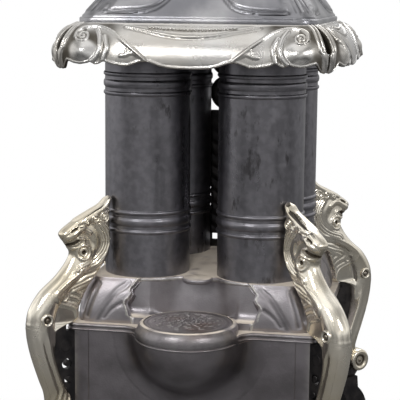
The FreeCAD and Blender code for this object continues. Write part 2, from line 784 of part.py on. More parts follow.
belly_room = box(
    "belly_room", (f"-belly_radius - {past}", f"belly_radius + {past}"),
    (f"-{pod_front}", "-base_half + panel_thick / 2"),
    (f"ledge_bottom - belly_radius - {past}", "ledge_bottom"),
)
belly = common("belly", lower_ball("belly_outside", "belly_radius"), belly_room)
front_blank = fuse("front_panel_blank", panel("front_plate"), belly)
front_blend = doc.addObject("Part::Fillet", "front_panel_blend")
front_blend.Base = front_blank
blend_radius = number("belly_fillet")
front_blend.Edges = [(index, blend_radius, blend_radius) for index in belly_edges(front_blank)]
belly_bowl = lower_ball("belly_inside", "belly_radius - belly_wall")
node("front_panel", cut("front_panel_shell", front_blend, belly_bowl))
for name in ("left_panel", "right_panel"):
    side(name, cut(name + "_framed", panel(name + "_plate"), field(name + "_field")))
pipe_hole = cylinder(
    "pipe_hole", "pipe_radius + face_gap", f"panel_thick + 2 * {past}",
    "0", f"-base_half - {past}", "line_height", along="y",
)
side("back_panel", cut("back_panel_drilled", panel("back_plate"), pipe_hole))


# Legs and griffins share one upright plane through a corner of the ledge.
# In it, "out" runs away from the stove from the ledge corner and "up" from the top of the ledge.

corner_reach = f"{ledge_half} * sqrt(2)"
seat_out = f"({seat_reach} - {corner_reach})"
floor_up = f"(-{ledge_top})"
plate_up = f"(base_bottom - {ledge_top})"


def out(share):
    return f"({share} * griffin_reach)"


def up(share):
    return f"({share} * griffin_rise)"


def down(share):
    return f"({share} * {plate_up})"


def below_plate(share):
    return f"({plate_up} - {share} * base_bottom)"


upper_screw = (out(0.667), up(0.022))
lower_screw = (out(0.65), f"({plate_up} + scroll_rise)")


def web_points(grow, inner):
    # Outline of a leg's web: along the post, round the ledge corner and out to the two screws.
    ledge_line = f"-ledge_thick - leg_gap + {grow}"
    return [
        (inner, plate_up),
        (inner, ledge_line),
        (f"{out(0.045)} - {grow}", ledge_line),
        (f"{out(0.045)} - {grow}", f"{up(0.088)} + {grow}"),
        (f"{out(0.79)} + {grow}", f"{up(0.088)} + {grow}"),
        (f"{out(0.79)} + {grow}", f"{down(0.158)} - {grow}", down(0.6)),
        (f"{out(0.364)} + 2 * {grow}", down(0.658), down(-0.2)),
        (f"{out(0.758)} + {grow}", f"{down(0.842)} + {grow}"),
        (f"{out(0.818)} + {grow}", f"{down(0.974)} - {grow}"),
        (f"{out(0.545)} + {grow}", f"{below_plate(0.158)} - {grow}"),
        (inner, f"{below_plate(0.158)} - {grow}"),
    ]


def across(name, radius, half, spot):
    # A round bar across a leg's plane, centred on it.
    return cylinder(name, radius, f"2 * {half}", spot[0], f"-{half}", spot[1], along="y")


def side_screw_hole(name, spot):
    return across(name, "griffin_screw + rod_gap", "(2 * griffin_half)", spot)


def leg_pattern():
    web = pad("leg_web_plate", "XZ_Plane", web_points("0", seat_out), "leg_web")
    heel = "leg_reach - foot_length"
    foot = pad(
        "leg_foot_blank", "XZ_Plane",
        [
            ("0", below_plate(0.14)),
            ("0.425 * leg_reach", below_plate(0.14)),
            ("0.45 * leg_reach", below_plate(0.316), "-0.53 * base_bottom"),
            ("0.7 * leg_reach", below_plate(0.614), "0.79 * base_bottom"),
            ("leg_reach", f"{floor_up} + toe_height"),
            ("leg_reach", floor_up),
            (heel, floor_up),
            (heel, f"{floor_up} + toe_height", "-0.79 * base_bottom"),
            ("0.2 * leg_reach", below_plate(0.6), "0.7 * base_bottom"),
            ("0", below_plate(0.333)),
        ],
        "leg_foot",
    )
    lug = box(
        "leg_lug",
        (f"{seat_out} - lug_length", "0.25 * leg_reach"),
        ("-lug_width / 2", "lug_width / 2"),
        (f"{plate_up} - lug_thick", plate_up),
    )
    windows = [
        across(
            f"leg_window_{index}", f"{share} * leg_window", "leg_web",
            (f"{share} * leg_window + {seat_out} * 0.3", down(level)),
        )
        for index, (share, level) in enumerate(((1, 0.224), (0.87, 0.408), (0.66, 0.566)))
    ]
    holes = [
        side_screw_hole("leg_upper_hole", upper_screw),
        side_screw_hole("leg_lower_hole", lower_screw),
        drill(
            "leg_bolt_way", "bolt_radius + rod_gap", "lug_thick",
            f"{seat_out} - lug_length / 2", "0", f"{plate_up} - lug_thick",
        ),
    ]
    return cut("leg_pattern", fuse("leg_blank", web, foot, lug), *windows, *holes)


def depth(share):
    return f"{share} * griffin_depth"


def thick(share):
    return f"{share} * griffin_half"


def griffin_pattern():
    # Smooth S-shaped body from the neck down to the scroll at the foot of the casting.
    body = ellipse_loft(
        "griffin_body",
        [
            (out(-0.5), up(0.696), 0, depth(1.27), thick(0.66)),
            (out(-0.44), up(0.575), 5, depth(1.14), thick(0.74)),
            (out(-0.2), up(0.387), 30, depth(1.09), thick(0.86)),
            (out(0.18), up(0.249), 40, depth(1.09), thick(0.94)),
            (out(0.53), up(0.122), 32, depth(1.07), thick(1)),
            (out(0.667), down(0.013), 4, depth(1), thick(1)),
            (out(0.636), down(0.17), -10, depth(0.955), thick(0.97)),
            (out(0.56), down(0.316), -16, depth(0.886), thick(0.92)),
            (out(0.41), down(0.526), -18, depth(0.864), thick(0.86)),
            (out(0.26), down(0.697), -16, depth(0.91), thick(0.8)),
            (out(0.18), down(0.92), -4, depth(0.91), thick(0.76)),
        ],
    )
    # Head from the nape to the muzzle, with the ear behind it.
    head = ellipse_loft(
        "griffin_head_form",
        [
            (out(-0.94), up(0.773), 90, depth(0.59), thick(0.45)),
            (out(-0.667), up(0.762), 90, depth(1.18), thick(0.7)),
            (out(-0.333), up(0.729), 88, depth(1), thick(0.74)),
            (out(-0.076), up(0.707), 84, depth(0.68), thick(0.62)),
            (out(0.09), up(0.707), 82, depth(0.477), thick(0.5)),
            (out(0.182), up(0.71), 80, depth(0.273), thick(0.3)),
        ],
    )
    ear = ellipse_loft(
        "griffin_ear",
        [
            (out(-0.606), up(0.829), 45, depth(0.5), thick(0.4)),
            (out(-0.848), up(0.923), 45, depth(0.318), thick(0.3)),
            (out(-1.09), up(1), 45, depth(0.068), thick(0.06)),
        ],
    )
    # Mane that fills the space between the neck and the shoulder of the stove.
    mane = pad(
        "griffin_mane", "XZ_Plane",
        [
            (out(-1.03), up(0.641), up(0.77)),
            (out(-0.88), up(0.44), up(0.33)),
            (out(-0.545), up(0.3), up(-0.44)),
            (out(-0.26), up(0.133), up(-0.33)),
            (out(-0.3), "0"),
            (out(0.455), "0"),
            (out(0.3), up(0.221)),
            (out(-0.3), up(0.497)),
            (out(-0.606), up(0.696)),
        ],
        thick(1.1),
    )
    scroll = across("griffin_scroll", "scroll_radius", scroll_half, (out(0.62), f"{plate_up} + scroll_rise"))
    boss = across("griffin_screw_boss", "griffin_boss", boss_face, upper_screw)
    solid = fuse("griffin_solid", body, head, ear, mane, scroll, boss)
    corner_space = box(
        "griffin_ledge_notch", (f"{seat_out} - griffin_reach", "leg_gap"),
        ("-2 * griffin_half", "2 * griffin_half"), (down(0.3), "0"),
    )
    slot_points = web_points("leg_gap", f"{seat_out} - {past}")
    slot = pad("griffin_slot", "XZ_Plane", slot_points, "leg_web + 2 * leg_gap")
    holes = [
        side_screw_hole("griffin_upper_hole", upper_screw),
        side_screw_hole("griffin_lower_hole", lower_screw),
    ]
    return cut("griffin_pattern", solid, corner_space, slot, *holes)


def at_corner(name, pattern, corner):
    x, y = tube_places[corner]
    item = turn(group(name + "_placed", [pattern]), (0, 0, 1), leg_turns[corner])
    return place(item, f"{x} * {ledge_half}", f"{y} * {ledge_half}", ledge_top)


scroll_half = "(0.75 * griffin_half)"
boss_face = "(griffin_half + boss_height)"
leg = leg_pattern()
griffin = griffin_pattern()
for corner in leg_turns:
    node(f"leg_{corner}", at_corner(f"leg_{corner}", leg, corner))
    node(f"griffin_{corner}", at_corner(f"griffin_{corner}", griffin, corner))


# Screws through griffin and leg, with the head towards the front, and bolts through lug and base plate

def griffin_fastener(name, spot, face, head_first):
    # The shank runs from face to face, with a domed head on one and a round nut on the other.
    seats = (f"-{face} - griffin_head / 2", face)
    head_low, nut_low = seats if head_first else seats[::-1]
    narrow, wide = "0.6 * griffin_head", "griffin_head"
    radii = (narrow, wide) if head_first else (wide, narrow)
    shank = across(name + "_shank", "griffin_screw", face, spot)
    head = cone(name + "_head", *radii, "griffin_head / 2", spot[0], head_low, spot[1], along="y")
    nut = cylinder(
        name + "_nut", "0.85 * griffin_head", "griffin_head / 2", spot[0], nut_low, spot[1], along="y"
    )
    return fuse(name, shank, head, nut)


def griffin_fasteners(side_name, head_first):
    return group(
        f"griffin_fasteners_{side_name}",
        [
            griffin_fastener(f"upper_fastener_{side_name}", upper_screw, boss_face, head_first),
            griffin_fastener(f"lower_fastener_{side_name}", lower_screw, scroll_half, head_first),
        ],
    )


fastener_sets = {
    "front_left": griffin_fasteners("plus", False),
    "front_right": griffin_fasteners("minus", True),
}
fastener_sets["rear_left"] = fastener_sets["front_left"]
fastener_sets["rear_right"] = fastener_sets["front_right"]
node(
    "griffin_screws",
    group("griffin_screw_group", [
        at_corner(f"griffin_screws_{corner}", pattern, corner) for corner, pattern in fastener_sets.items()
    ]),
)
leg_bolts = []
for corner, spot in leg_bolt_spots.items():
    shank = cylinder(
        f"leg_bolt_shank_{corner}", "bolt_radius", "lug_thick + base_plate_thick + nut_thick",
        *spot, "base_bottom - lug_thick",
    )
    head_low = "base_bottom - lug_thick - nut_thick"
    head = prism(f"leg_bolt_head_{corner}", "nut_radius", "nut_thick", *spot, head_low)
    nut = prism(f"leg_bolt_nut_{corner}", "nut_radius", "nut_thick", *spot, panel_bottom)
    leg_bolts.append(fuse(f"leg_bolt_{corner}", shank, head, nut))
node("leg_bolts", group("leg_bolt_group", leg_bolts))


# Crown plate over the tubes

crown_blank = square_loft(
    "crown_blank",
    [(crown_bottom, crown_half, "dome_corner"), (crown_top, crown_half, "dome_corner")],
)
crown_flues = at_tubes(
    lambda name, x, y: flue_hole(name, x, y, crown_bottom, "crown_thick"), "crown_flue"
)
crown_collars = at_tubes(
    lambda name, x, y: collar(
        name, x, y, f"({crown_bottom} - collar_height)", f"({crown_bottom} + crown_thick / 2)"
    ),
    "crown_collar",
)


def skirt_screw_spots():
    # Two screws for each skirt, as places on the crown plate.
    line = f"({skirt_top_half} - skirt_flange * 0.6)"
    spots = {}
    for name, degrees in side_turns.items():
        for along in ("-1", "1"):
            x, y = f"({along} * skirt_screw_half)", f"(-{line})"
            if degrees in (90, 270):
                x, y = y, x
            if degrees in (90, 180):
                x, y = f"(-{x})", f"(-{y})"
            spots[f"{name}_{along}"] = (x, y)
    return spots


crown_taps = [
    drill(f"crown_tap_{name}", "small_screw + run_gap", "crown_thick", *spot, crown_bottom)
    for name, spot in {**skirt_screw_spots(), "fret": ("0", fret_line)}.items()
]
crown_built = fuse("crown_built", crown_blank, *crown_collars)
node("crown_plate", cut("crown_casting", crown_built, *crown_flues, *crown_taps))


def small_fastener(name, x, y, seat, length):
    # A screw from above whose domed head rests on its seat.
    shank = cylinder(name + "_shank", "small_screw", length, x, y, f"{seat} - ({length})")
    head = cone(name + "_head", "small_head", "0.6 * small_head", "small_head / 2", x, y, seat)
    return fuse(name, shank, head)


node("skirt_screws", group("skirt_screw_group", [
    small_fastener(f"skirt_screw_{name}", x, y, dome_bottom, "(crown_thick + skirt_wall)")
    for name, (x, y) in skirt_screw_spots().items()
]))


# Tie rods inside the tubes, and their nuts

rod_low = "(hearth_top - hearth_thick - rod_end)"
rod_high = f"({crown_top} + rod_end)"
node("tie_rods", group("tie_rod_group", at_tubes(
    lambda name, x, y: cylinder(name, "rod_radius", f"{rod_high} - {rod_low}", x, y, rod_low), "tie_rod"
)))


def rod_nut(name, x, y, z):
    return cut(
        name,
        prism(name + "_hexagon", "nut_radius", "nut_thick", x, y, z),
        drill(name + "_bore", "rod_radius + run_gap", "nut_thick", x, y, z),
    )


low_nuts = at_tubes(lambda name, x, y: rod_nut(name, x, y, f"({plate_low} - nut_thick)"), "low_nut")
high_nuts = at_tubes(lambda name, x, y: rod_nut(name, x, y, crown_top), "high_nut")
node("rod_nuts", group("rod_nut_group", low_nuts + high_nuts))


# Fret between the rear tubes: rings above, a closed panel with a slot below

fret_front = f"({fret_back} - fret_thick / 2)"
fret_plate = box(
    "fret_plate", (f"-{fret_half}", fret_half), (fret_front, f"{fret_front} + fret_thick"),
    ("hearth_top", crown_bottom),
)


def fret_end(name, low):
    return box(
        name, (f"-{fret_half}", fret_half), (fret_front, f"{fret_front} + fret_thick / 2 + fret_tab"),
        (low, f"{low} + fret_thick"),
    )


fret_head_low = f"({crown_bottom} - fret_thick)"
fret_ends = [fret_end("fret_foot", "hearth_top"), fret_end("fret_head", fret_head_low)]


def fret_opening(name, radius, x, level):
    return cylinder(
        name, radius, f"fret_thick + 2 * {past}", x, f"{fret_front} - {past}",
        f"hearth_top + fret_panel + {level} * fret_pitch", along="y",
    )


fret_hole = f"(0.62 * {fret_half})"
fret_notch = f"(0.36 * {fret_half})"
fret_slot_half = f"(0.6 * {fret_half})"
fret_openings = []
for level in (0.5, 1.5):
    fret_openings.append(fret_opening(f"fret_ring_{level}", fret_hole, "0", level))
for level in (0, 1, 2):
    for side_name, sign in (("left", "-1"), ("right", "1")):
        notch = f"{sign} * ({fret_half} + {fret_notch} / 2)"
        fret_openings.append(fret_opening(f"fret_notch_{side_name}_{level}", fret_notch, notch, level))
fret_slot = box(
    "fret_slot_cut", (f"-{fret_slot_half}", fret_slot_half),
    (f"{fret_front} - {past}", f"{fret_front} + fret_thick + {past}"),
    ("hearth_top + fret_slot_rise", "hearth_top + fret_slot_rise + fret_slot"),
)
fret_ways = [
    drill(f"fret_way_{name}", "small_screw + run_gap", "fret_thick", "0", fret_line, low)
    for name, low in (("low", "hearth_top"), ("high", fret_head_low))
]
fret_blank = fuse("fret_blank", fret_plate, *fret_ends)
node("rear_fret", cut("rear_fret_casting", fret_blank, *fret_openings, fret_slot, *fret_ways))
fret_seat = "(hearth_top + fret_thick)"
fret_grip = "(fret_thick + hearth_thick)"
node("fret_screws", group("fret_screw_group", [
    small_fastener("fret_screw_low", "0", fret_line, fret_seat, fret_grip),
    small_fastener("fret_screw_high", "0", fret_line, crown_top, "(crown_thick + fret_thick)"),
]))


# Skirts under the dome rim, which meet at the rounded corners, with a swagged lower edge

skirt_bottom = f"({dome_bottom} - skirt_drop)"
skirt_half = f"({skirt_top_half} + skirt_flare)"
skirt_chord = "sqrt(skirt_flare^2 + skirt_drop^2)"
skirt_reach = f"sqrt(skirt_round^2 - ({skirt_chord} / 2)^2)"
skirt_axis_out = f"({skirt_top_half} + skirt_flare / 2 - {skirt_reach} * skirt_drop / {skirt_chord})"
skirt_axis_up = f"({dome_bottom} - skirt_drop / 2 - {skirt_reach} * skirt_flare / {skirt_chord})"


def skirt_sections(inset, high, low):
    # Level rounded squares down the arc of the skirt's section, set in from its outer face.
    sections = []
    for share in (0, 0.08, 0.22, 0.42, 0.68, 1):
        height = f"({high} + {share} * ({low} - {high}))"
        out = f"sqrt((skirt_round - {inset})^2 - ({height} - {skirt_axis_up})^2)"
        growth = f"(skirt_corner - dome_corner) * ({dome_bottom} - {height}) / skirt_drop"
        sections.append((height, f"{skirt_axis_out} + {out}", f"dome_corner + {growth} - {inset}"))
    return sections


def skirt_pattern():
    outside = square_loft("skirt_outside", skirt_sections("0", dome_bottom, skirt_bottom))
    hollow = square_loft(
        "skirt_hollow",
        skirt_sections("skirt_wall", f"({dome_bottom} - skirt_wall)", f"({skirt_bottom} - {past})"),
    )
    inner = f"({skirt_top_half} - skirt_flange)"
    middle = box(
        "skirt_middle", (f"-{inner}", inner), (f"-{inner}", inner),
        (f"{dome_bottom} - skirt_wall - {past}", f"{dome_bottom} + {past}"),
    )
    mitre = pad(
        "skirt_mitre", "XY_Plane",
        [
            (f"-{inner} + skirt_gap", f"-{inner}"),
            (f"-{skirt_half} - {past} + skirt_gap", f"-{skirt_half} - {past}"),
            (f"{skirt_half} + {past} - skirt_gap", f"-{skirt_half} - {past}"),
            (f"{inner} - skirt_gap", f"-{inner}"),
        ],
        f"skirt_drop + 2 * {past}", middle=False, offset=f"{skirt_bottom} - {past}",
    )
    shoulder_line = f"{skirt_bottom} + swag_rise"
    lobe_line = f"{skirt_bottom} + swag_rise / 2"
    tongue_foot = f"({skirt_half} - skirt_tongue)"
    lobe = f"({tongue_foot} + swag_half) / 2"
    swag_round = "(swag_half^2 + swag_sag^2) / (2 * swag_sag)"
    under = pad(
        "skirt_under_edge", "XZ_Plane",
        [
            (f"-{tongue_foot} - swag_rise / 4", f"{skirt_bottom} - {past}"),
            (f"{tongue_foot} + swag_rise / 4", f"{skirt_bottom} - {past}"),
            (tongue_foot, lobe_line, "-lobe_round"),
            (lobe, lobe_line, "-lobe_round"),
            ("swag_half", shoulder_line, f"-{swag_round}"),
            ("-swag_half", shoulder_line, "-lobe_round"),
            (f"-({lobe})", lobe_line, "-lobe_round"),
            (f"-{tongue_foot}", lobe_line),
        ],
        f"2 * {skirt_half} + 2 * {past}",
    )
    ways = [
        drill(f"skirt_way_{name}", "small_screw + run_gap", "skirt_wall", *spot, crown_top)
        for name, spot in skirt_screw_spots().items() if name.startswith("front")
    ]
    ring = cut("skirt_ring", outside, hollow, middle)
    return cut("skirt_pattern", common("skirt_mitred", ring, mitre), under, *ways)


skirt = skirt_pattern()
for name in side_turns:
    side(f"{name}_skirt", skirt)


# Dome with its stepped rim, the vent cap and the finial

def dome_sections(inset, high):
    base = f"({dome_bottom} + dome_rim + dome_step)"
    rise = f"(dome_height - dome_rim - dome_step - {high})"
    shape = ((0, 0), (0.3, 0.14), (0.6, 0.32), (0.82, 0.51), (0.95, 0.69), (1, 0.82))
    half = f"({skirt_top_half} - dome_step)"
    narrow = f"({skirt_top_half} - dome_step - vent_radius)"
    sections = []
    for up, inward in shape:
        corner = f"dome_corner + {inward} * {narrow} * 0.35 - {inset} / 2"
        sections.append((f"{base} + {up} * {rise}", f"{half} - {inward} * {narrow} - {inset}", corner))
    return sections


rim = square_loft(
    "dome_rim_band",
    [
        (dome_bottom, skirt_top_half, "dome_corner"),
        (f"{dome_bottom} + dome_rim", skirt_top_half, "dome_corner"),
    ],
)
step = square_loft(
    "dome_step_band",
    [
        (f"{dome_bottom} + dome_rim", f"{skirt_top_half} - dome_step / 2", "dome_corner"),
        (f"{dome_bottom} + dome_rim + dome_step", f"{skirt_top_half} - dome_step", "dome_corner"),
    ],
)
shell = square_loft("dome_outside", dome_sections("0", "0"))
inside = square_loft("dome_inside", dome_sections("dome_wall", "dome_wall"))
dome_inner_half = f"({skirt_top_half} - dome_step - dome_wall)"
dome_inner_corner = "(dome_corner - dome_wall / 2)"
inside_foot = square_loft(
    "dome_inside_foot",
    [
        (f"{dome_bottom} - {past}", dome_inner_half, dome_inner_corner),
        (f"{dome_bottom} + dome_rim + dome_step", dome_inner_half, dome_inner_corner),
    ],
)
vent = cylinder("dome_vent", "vent_radius", "3 * dome_wall", "0", "0", f"{dome_top} - 2 * dome_wall")
stud_hole = cylinder(
    "dome_stud_hole", "stud_radius + rod_gap", "3 * dome_wall", "0", "0", f"{dome_top} - 2 * dome_wall"
)
bar = box(
    "dome_vent_bar", (f"-vent_radius - {past}", f"vent_radius + {past}"),
    ("-bridge_width / 2", "bridge_width / 2"), (f"{dome_top} - dome_wall", dome_top),
)
dome_open = cut("dome_open", fuse("dome_solid", rim, step, shell), inside, inside_foot, vent)
node("dome", cut("dome_drilled", fuse("dome_with_bar", dome_open, bar), stud_hole))

cap_low = f"({dome_top} + vent_gap)"
cap = revolve(
    "vent_cap_turned",
    [
        ("stud_radius + rod_gap", "0"),
        ("cap_radius - cap_lip", "0"),
        ("cap_radius", "-cap_lip"),
        ("cap_radius", "cap_thick - cap_lip", "cap_radius * 2.2"),
        ("finial_radius * 0.7", "cap_thick + cap_rise"),
        ("stud_radius + rod_gap", "cap_thick + cap_rise"),
    ],
)
place(cap, "0", "0", cap_low)
cap_feet_count = 3
cap_foot_ring = "(vent_radius + cap_foot + cap_lip / 3)"
cap_feet = [
    cylinder(
        f"cap_foot_{index}", "cap_foot", f"vent_gap + {past}",
        f"{cap_foot_ring} * cos({360 / cap_feet_count * index})",
        f"{cap_foot_ring} * sin({360 / cap_feet_count * index})", dome_top,
    )
    for index in range(cap_feet_count)
]
node("vent_cap", fuse("vent_cap_casting", cap, *cap_feet))

finial_low = f"({cap_low} + cap_thick + cap_rise)"
finial = revolve(
    "finial_turned",
    [
        ("0", "finial_height * 0.16"),
        ("stud_radius + run_gap", "finial_height * 0.16"),
        ("stud_radius + run_gap", "0"),
        ("finial_radius * 0.62", "0"),
        ("finial_radius * 0.62", "finial_height * 0.06", "-finial_height * 0.2"),
        ("finial_radius * 0.3", "finial_height * 0.2"),
        ("finial_radius * 0.3", "finial_height * 0.25", "finial_radius * 0.95"),
        ("finial_radius", "finial_height * 0.52", "finial_radius * 1.2"),
        ("finial_radius * 0.62", "finial_height * 0.68"),
        ("finial_radius * 0.74", "finial_height * 0.7"),
        ("finial_radius * 0.74", "finial_height * 0.73", "-finial_radius * 0.9"),
        ("finial_radius * 0.22", "finial_height * 0.88", "finial_radius * 0.22"),
        ("finial_radius * 0.1", "finial_height * 0.97"),
        ("0", "finial_height"),
    ],
)
node("finial", place(finial, "0", "0", finial_low))
stud_low = f"({dome_top} - dome_wall - nut_thick - {past})"
stud_high = f"({finial_low} + finial_height * 0.15)"
stud = cylinder("finial_stud_rod", "stud_radius", f"{stud_high} - {stud_low}", "0", "0", stud_low)
nut_low = f"{dome_top} - dome_wall - nut_thick"
stud_nut = prism("finial_stud_nut", "nut_radius", "nut_thick", "0", "0", nut_low)
node("finial_stud", fuse("finial_stud_with_nut", stud, stud_nut))


# Gas line: manifold, burners and saddles inside the base

def on_line(name, radius, low, high):
    # A round length of the gas line, which runs from front to back.
    return cylinder(name, radius, f"{high} - {low}", "0", low, "line_height", along="y")


mixer_low = "(base_half + face_gap)"
line_end = f"({mixer_low} + mixer_socket * 0.85)"
front_arm = f"(-{tube_half})"
main_pipe = on_line("manifold_main", "pipe_radius", front_arm, line_end)
arms = [
    cylinder(
        f"manifold_arm_{index}", "pipe_radius", f"2 * {tube_half}", front_arm, y, "line_height", along="x"
    )
    for index, y in enumerate((front_arm, tube_half))
]
elbow_radius = "(1.3 * pipe_radius)"
elbow_low = f"(line_height - {elbow_radius})"
risers = at_tubes(
    lambda name, x, y: cylinder(name, "pipe_radius", "burner_riser", x, y, "line_height"), "manifold_riser"
)
elbows = at_tubes(
    lambda name, x, y: cylinder(name, elbow_radius, f"2 * {elbow_radius}", x, y, elbow_low), "manifold_elbow"
)
line_bore = on_line("manifold_bore", "pipe_bore", f"({line_end} - mixer_length)", f"({line_end} + {past})")
manifold_solid = fuse("manifold_solid", main_pipe, *arms, *risers, *elbows)
node("manifold", cut("manifold_pipes", manifold_solid, line_bore))

burner_low = "(line_height + burner_riser)"
for corner, (x, y) in tube_places.items():
    burner = revolve(
        f"burner_{corner}",
        [
            ("0", "0"),
            ("burner_radius * 0.5", "0"),
            ("burner_radius", "burner_height * 0.5"),
            ("burner_radius", "burner_height * 0.75"),
            ("burner_radius * 0.7", "burner_height"),
            ("0", "burner_height"),
        ],
    )
    node(f"burner_{corner}", place(burner, f"{x} * {tube_half}", f"{y} * {tube_half}", burner_low))

saddles = []
for index, y in enumerate((front_arm, tube_half)):
    stand = box(
        f"saddle_stand_{index}", ("saddle_near", "saddle_near + saddle_width"),
        (f"{y} - saddle_length / 2", f"{y} + saddle_length / 2"), (panel_bottom, "line_height"),
    )
    seat_radius = "pipe_radius + run_gap"
    seat = cylinder(f"saddle_seat_{index}", seat_radius, tube_half, "0", y, "line_height", along="x")
    saddles.append(cut(f"saddle_{index}", stand, seat))
node("manifold_saddles", group("saddle_group", saddles))


# Mixer, air shutter and gas cock behind the back panel

mixer_face = f"({mixer_low} + mixer_length)"
mixer_neck = "(pipe_radius + mixer_rim)"
flare_low = f"({mixer_low} + mixer_socket)"
rim_low = f"({mixer_face} - mixer_rim)"
mixer_bell = fuse(
    "mixer_bell",
    on_line("mixer_socket_ring", mixer_neck, mixer_low, flare_low),
    cone(
        "mixer_flare", mixer_neck, "mixer_radius", f"{rim_low} - {flare_low}",
        "0", flare_low, "line_height", along="y",
    ),
    on_line("mixer_rim_ring", "mixer_radius", rim_low, mixer_face),
)
mixer_bore = on_line("mixer_bore", "pipe_radius + run_gap", f"({mixer_low} - {past})", line_end)
mixer_inside = cone(
    "mixer_inside", "pipe_bore", "mixer_radius - mixer_rim", f"{mixer_face} - mixer_rim / 2 - {line_end}",
    "0", line_end, "line_height", along="y",
)
air_hole_count = 3


def air_way(name, low, high):
    # The hole for the spud and the ring of air holes round it.
    length = f"{high} - {low}"
    ways = [on_line(name + "_centre", "spud_radius + run_gap", low, high)]
    for index in range(air_hole_count):
        turned = 360 / air_hole_count * index
        ways.append(
            cylinder(
                f"{name}_{index}", "mixer_hole", length, f"mixer_ring * sin({turned})", low,
                f"line_height + mixer_ring * cos({turned})", along="y",
            )
        )
    return ways


mixer_ways = air_way("mixer_way", rim_low, f"({mixer_face} + {past})")
node("mixer", cut("mixer_casting", mixer_bell, mixer_bore, mixer_inside, *mixer_ways))

shutter_low = f"({mixer_face} + face_gap)"
shutter_high = f"({shutter_low} + shutter_thick)"
shutter_disc = on_line("shutter_disc", "mixer_radius", shutter_low, shutter_high)
shutter_tab = box(
    "shutter_tab", ("-tab_width / 2", "tab_width / 2"), (shutter_low, shutter_high),
    ("line_height - mixer_radius - tab_length", "line_height - mixer_radius + tab_width / 2"),
)
node("air_shutter", cut(
    "air_shutter_plate", fuse("air_shutter_blank", shutter_disc, shutter_tab),
    *air_way("shutter_way", f"({shutter_low} - {past})", f"({shutter_high} + {past})"),
))

cock_low = f"({shutter_high} + face_gap)"
cock_high = f"({cock_low} + cock_length)"
cock_middle = f"({cock_low} + cock_length / 2)"
housing_low = "(line_height - cock_radius - cock_boss)"
housing_high = "(line_height + cock_radius + cock_boss)"
housing_height = f"({housing_high} - {housing_low})"
cock_body = fuse(
    "cock_body",
    on_line("cock_spud", "spud_radius", rim_low, cock_middle),
    on_line("cock_barrel", "cock_radius", cock_low, cock_high),
    cylinder("cock_housing", "cock_radius", housing_height, "0", cock_middle, housing_low),
    on_line("inlet_nipple", "pipe_radius", cock_middle, pod_front),
)
cock_ways = [
    drill("plug_way", "plug_radius + run_gap", housing_height, "0", cock_middle, housing_low),
    on_line("inlet_bore", "pipe_bore", cock_middle, f"({pod_front} + {past})"),
]
node("gas_cock", cut("gas_cock_body", cock_body, *cock_ways))

key_low = f"({housing_high} + face_gap)"
key_high = f"({key_low} + key_neck)"
key = fuse(
    "cock_key_blank",
    cylinder("key_plug", "plug_radius", f"{key_low} - {housing_low}", "0", cock_middle, housing_low),
    cylinder("key_collar", "plug_radius + cock_boss", "key_neck", "0", cock_middle, key_low),
    box(
        "key_handle", ("-key_thick / 2", "key_thick / 2"),
        (f"{cock_middle} - key_length / 2", f"{cock_middle} + key_length / 2"),
        (f"{key_high} - {past}", f"{key_high} + key_height"),
    ),
)
gas_way = on_line("key_gas_way", "plug_radius / 2", cock_low, cock_high)
node("cock_key", cut("cock_key_turned", key, gas_way))


# Check every object, then write one file for each sub-part

doc.recompute()
for item in doc.Objects:
    if "Invalid" in item.State or "Error" in item.State:
        raise RuntimeError(f"{item.Name} ({item.Label}) failed: {item.State}")
for name, shape in nodes.items():
    if shape.Shape.isNull() or not shape.Shape.isValid() or not shape.Shape.Solids:
        raise RuntimeError(f"{name} has no valid solid")
os.makedirs("parts", exist_ok=True)
for name, shape in nodes.items():
    shape.Shape.exportStep(f"parts/{name}.step")
    bounds = shape.Shape.BoundBox
    print(f"{name}: {len(shape.Shape.Solids)} solids, {shape.Shape.Volume / 1000:.1f} cm3,"
          f" z {bounds.ZMin:.1f} to {bounds.ZMax:.1f}")
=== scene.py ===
import json
import math
import bmesh
import bpy
import numpy as np
from mathutils import Matrix, Vector


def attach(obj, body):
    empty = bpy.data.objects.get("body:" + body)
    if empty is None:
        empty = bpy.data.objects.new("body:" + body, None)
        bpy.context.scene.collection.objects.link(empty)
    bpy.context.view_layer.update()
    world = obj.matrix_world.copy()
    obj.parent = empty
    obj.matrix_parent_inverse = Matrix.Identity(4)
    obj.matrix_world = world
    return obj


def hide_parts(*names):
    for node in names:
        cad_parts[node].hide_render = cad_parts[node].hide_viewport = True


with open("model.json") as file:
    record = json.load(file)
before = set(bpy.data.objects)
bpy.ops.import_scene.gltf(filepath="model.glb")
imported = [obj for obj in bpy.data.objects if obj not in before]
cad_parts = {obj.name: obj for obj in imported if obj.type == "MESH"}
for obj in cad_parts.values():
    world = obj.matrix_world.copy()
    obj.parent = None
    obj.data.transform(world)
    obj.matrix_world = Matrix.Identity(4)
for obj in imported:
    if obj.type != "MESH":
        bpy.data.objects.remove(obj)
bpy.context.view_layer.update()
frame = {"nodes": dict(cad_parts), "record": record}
print("frame loaded with", len(frame["nodes"]), "nodes")


# Curves, relief and meshes. All shapes below are in millimetres in the frame of the stove.

def smoothStep(value, low, high):  # 0 below low, 1 above high, an S between them
    share = np.clip((value - low) / (high - low), 0, 1)
    return share * share * (3 - 2 * share)


def throughPoints(points, count):  # Catmull-Rom curve: each span leans on the points beside it
    points = np.asarray(points, float)
    padded = np.vstack([2 * points[0] - points[1], points, 2 * points[-1] - points[-2]])
    place = np.linspace(0, len(points) - 1, count)
    span = np.minimum(place.astype(int), len(points) - 2)
    t = (place - span)[:, None]
    a, b, c, d = (padded[span + step] for step in range(4))
    return 0.5 * (2 * b + (c - a) * t + (2 * a - 5 * b + 4 * c - d) * t ** 2 + (3 * b - a - 3 * c + d) * t ** 3)


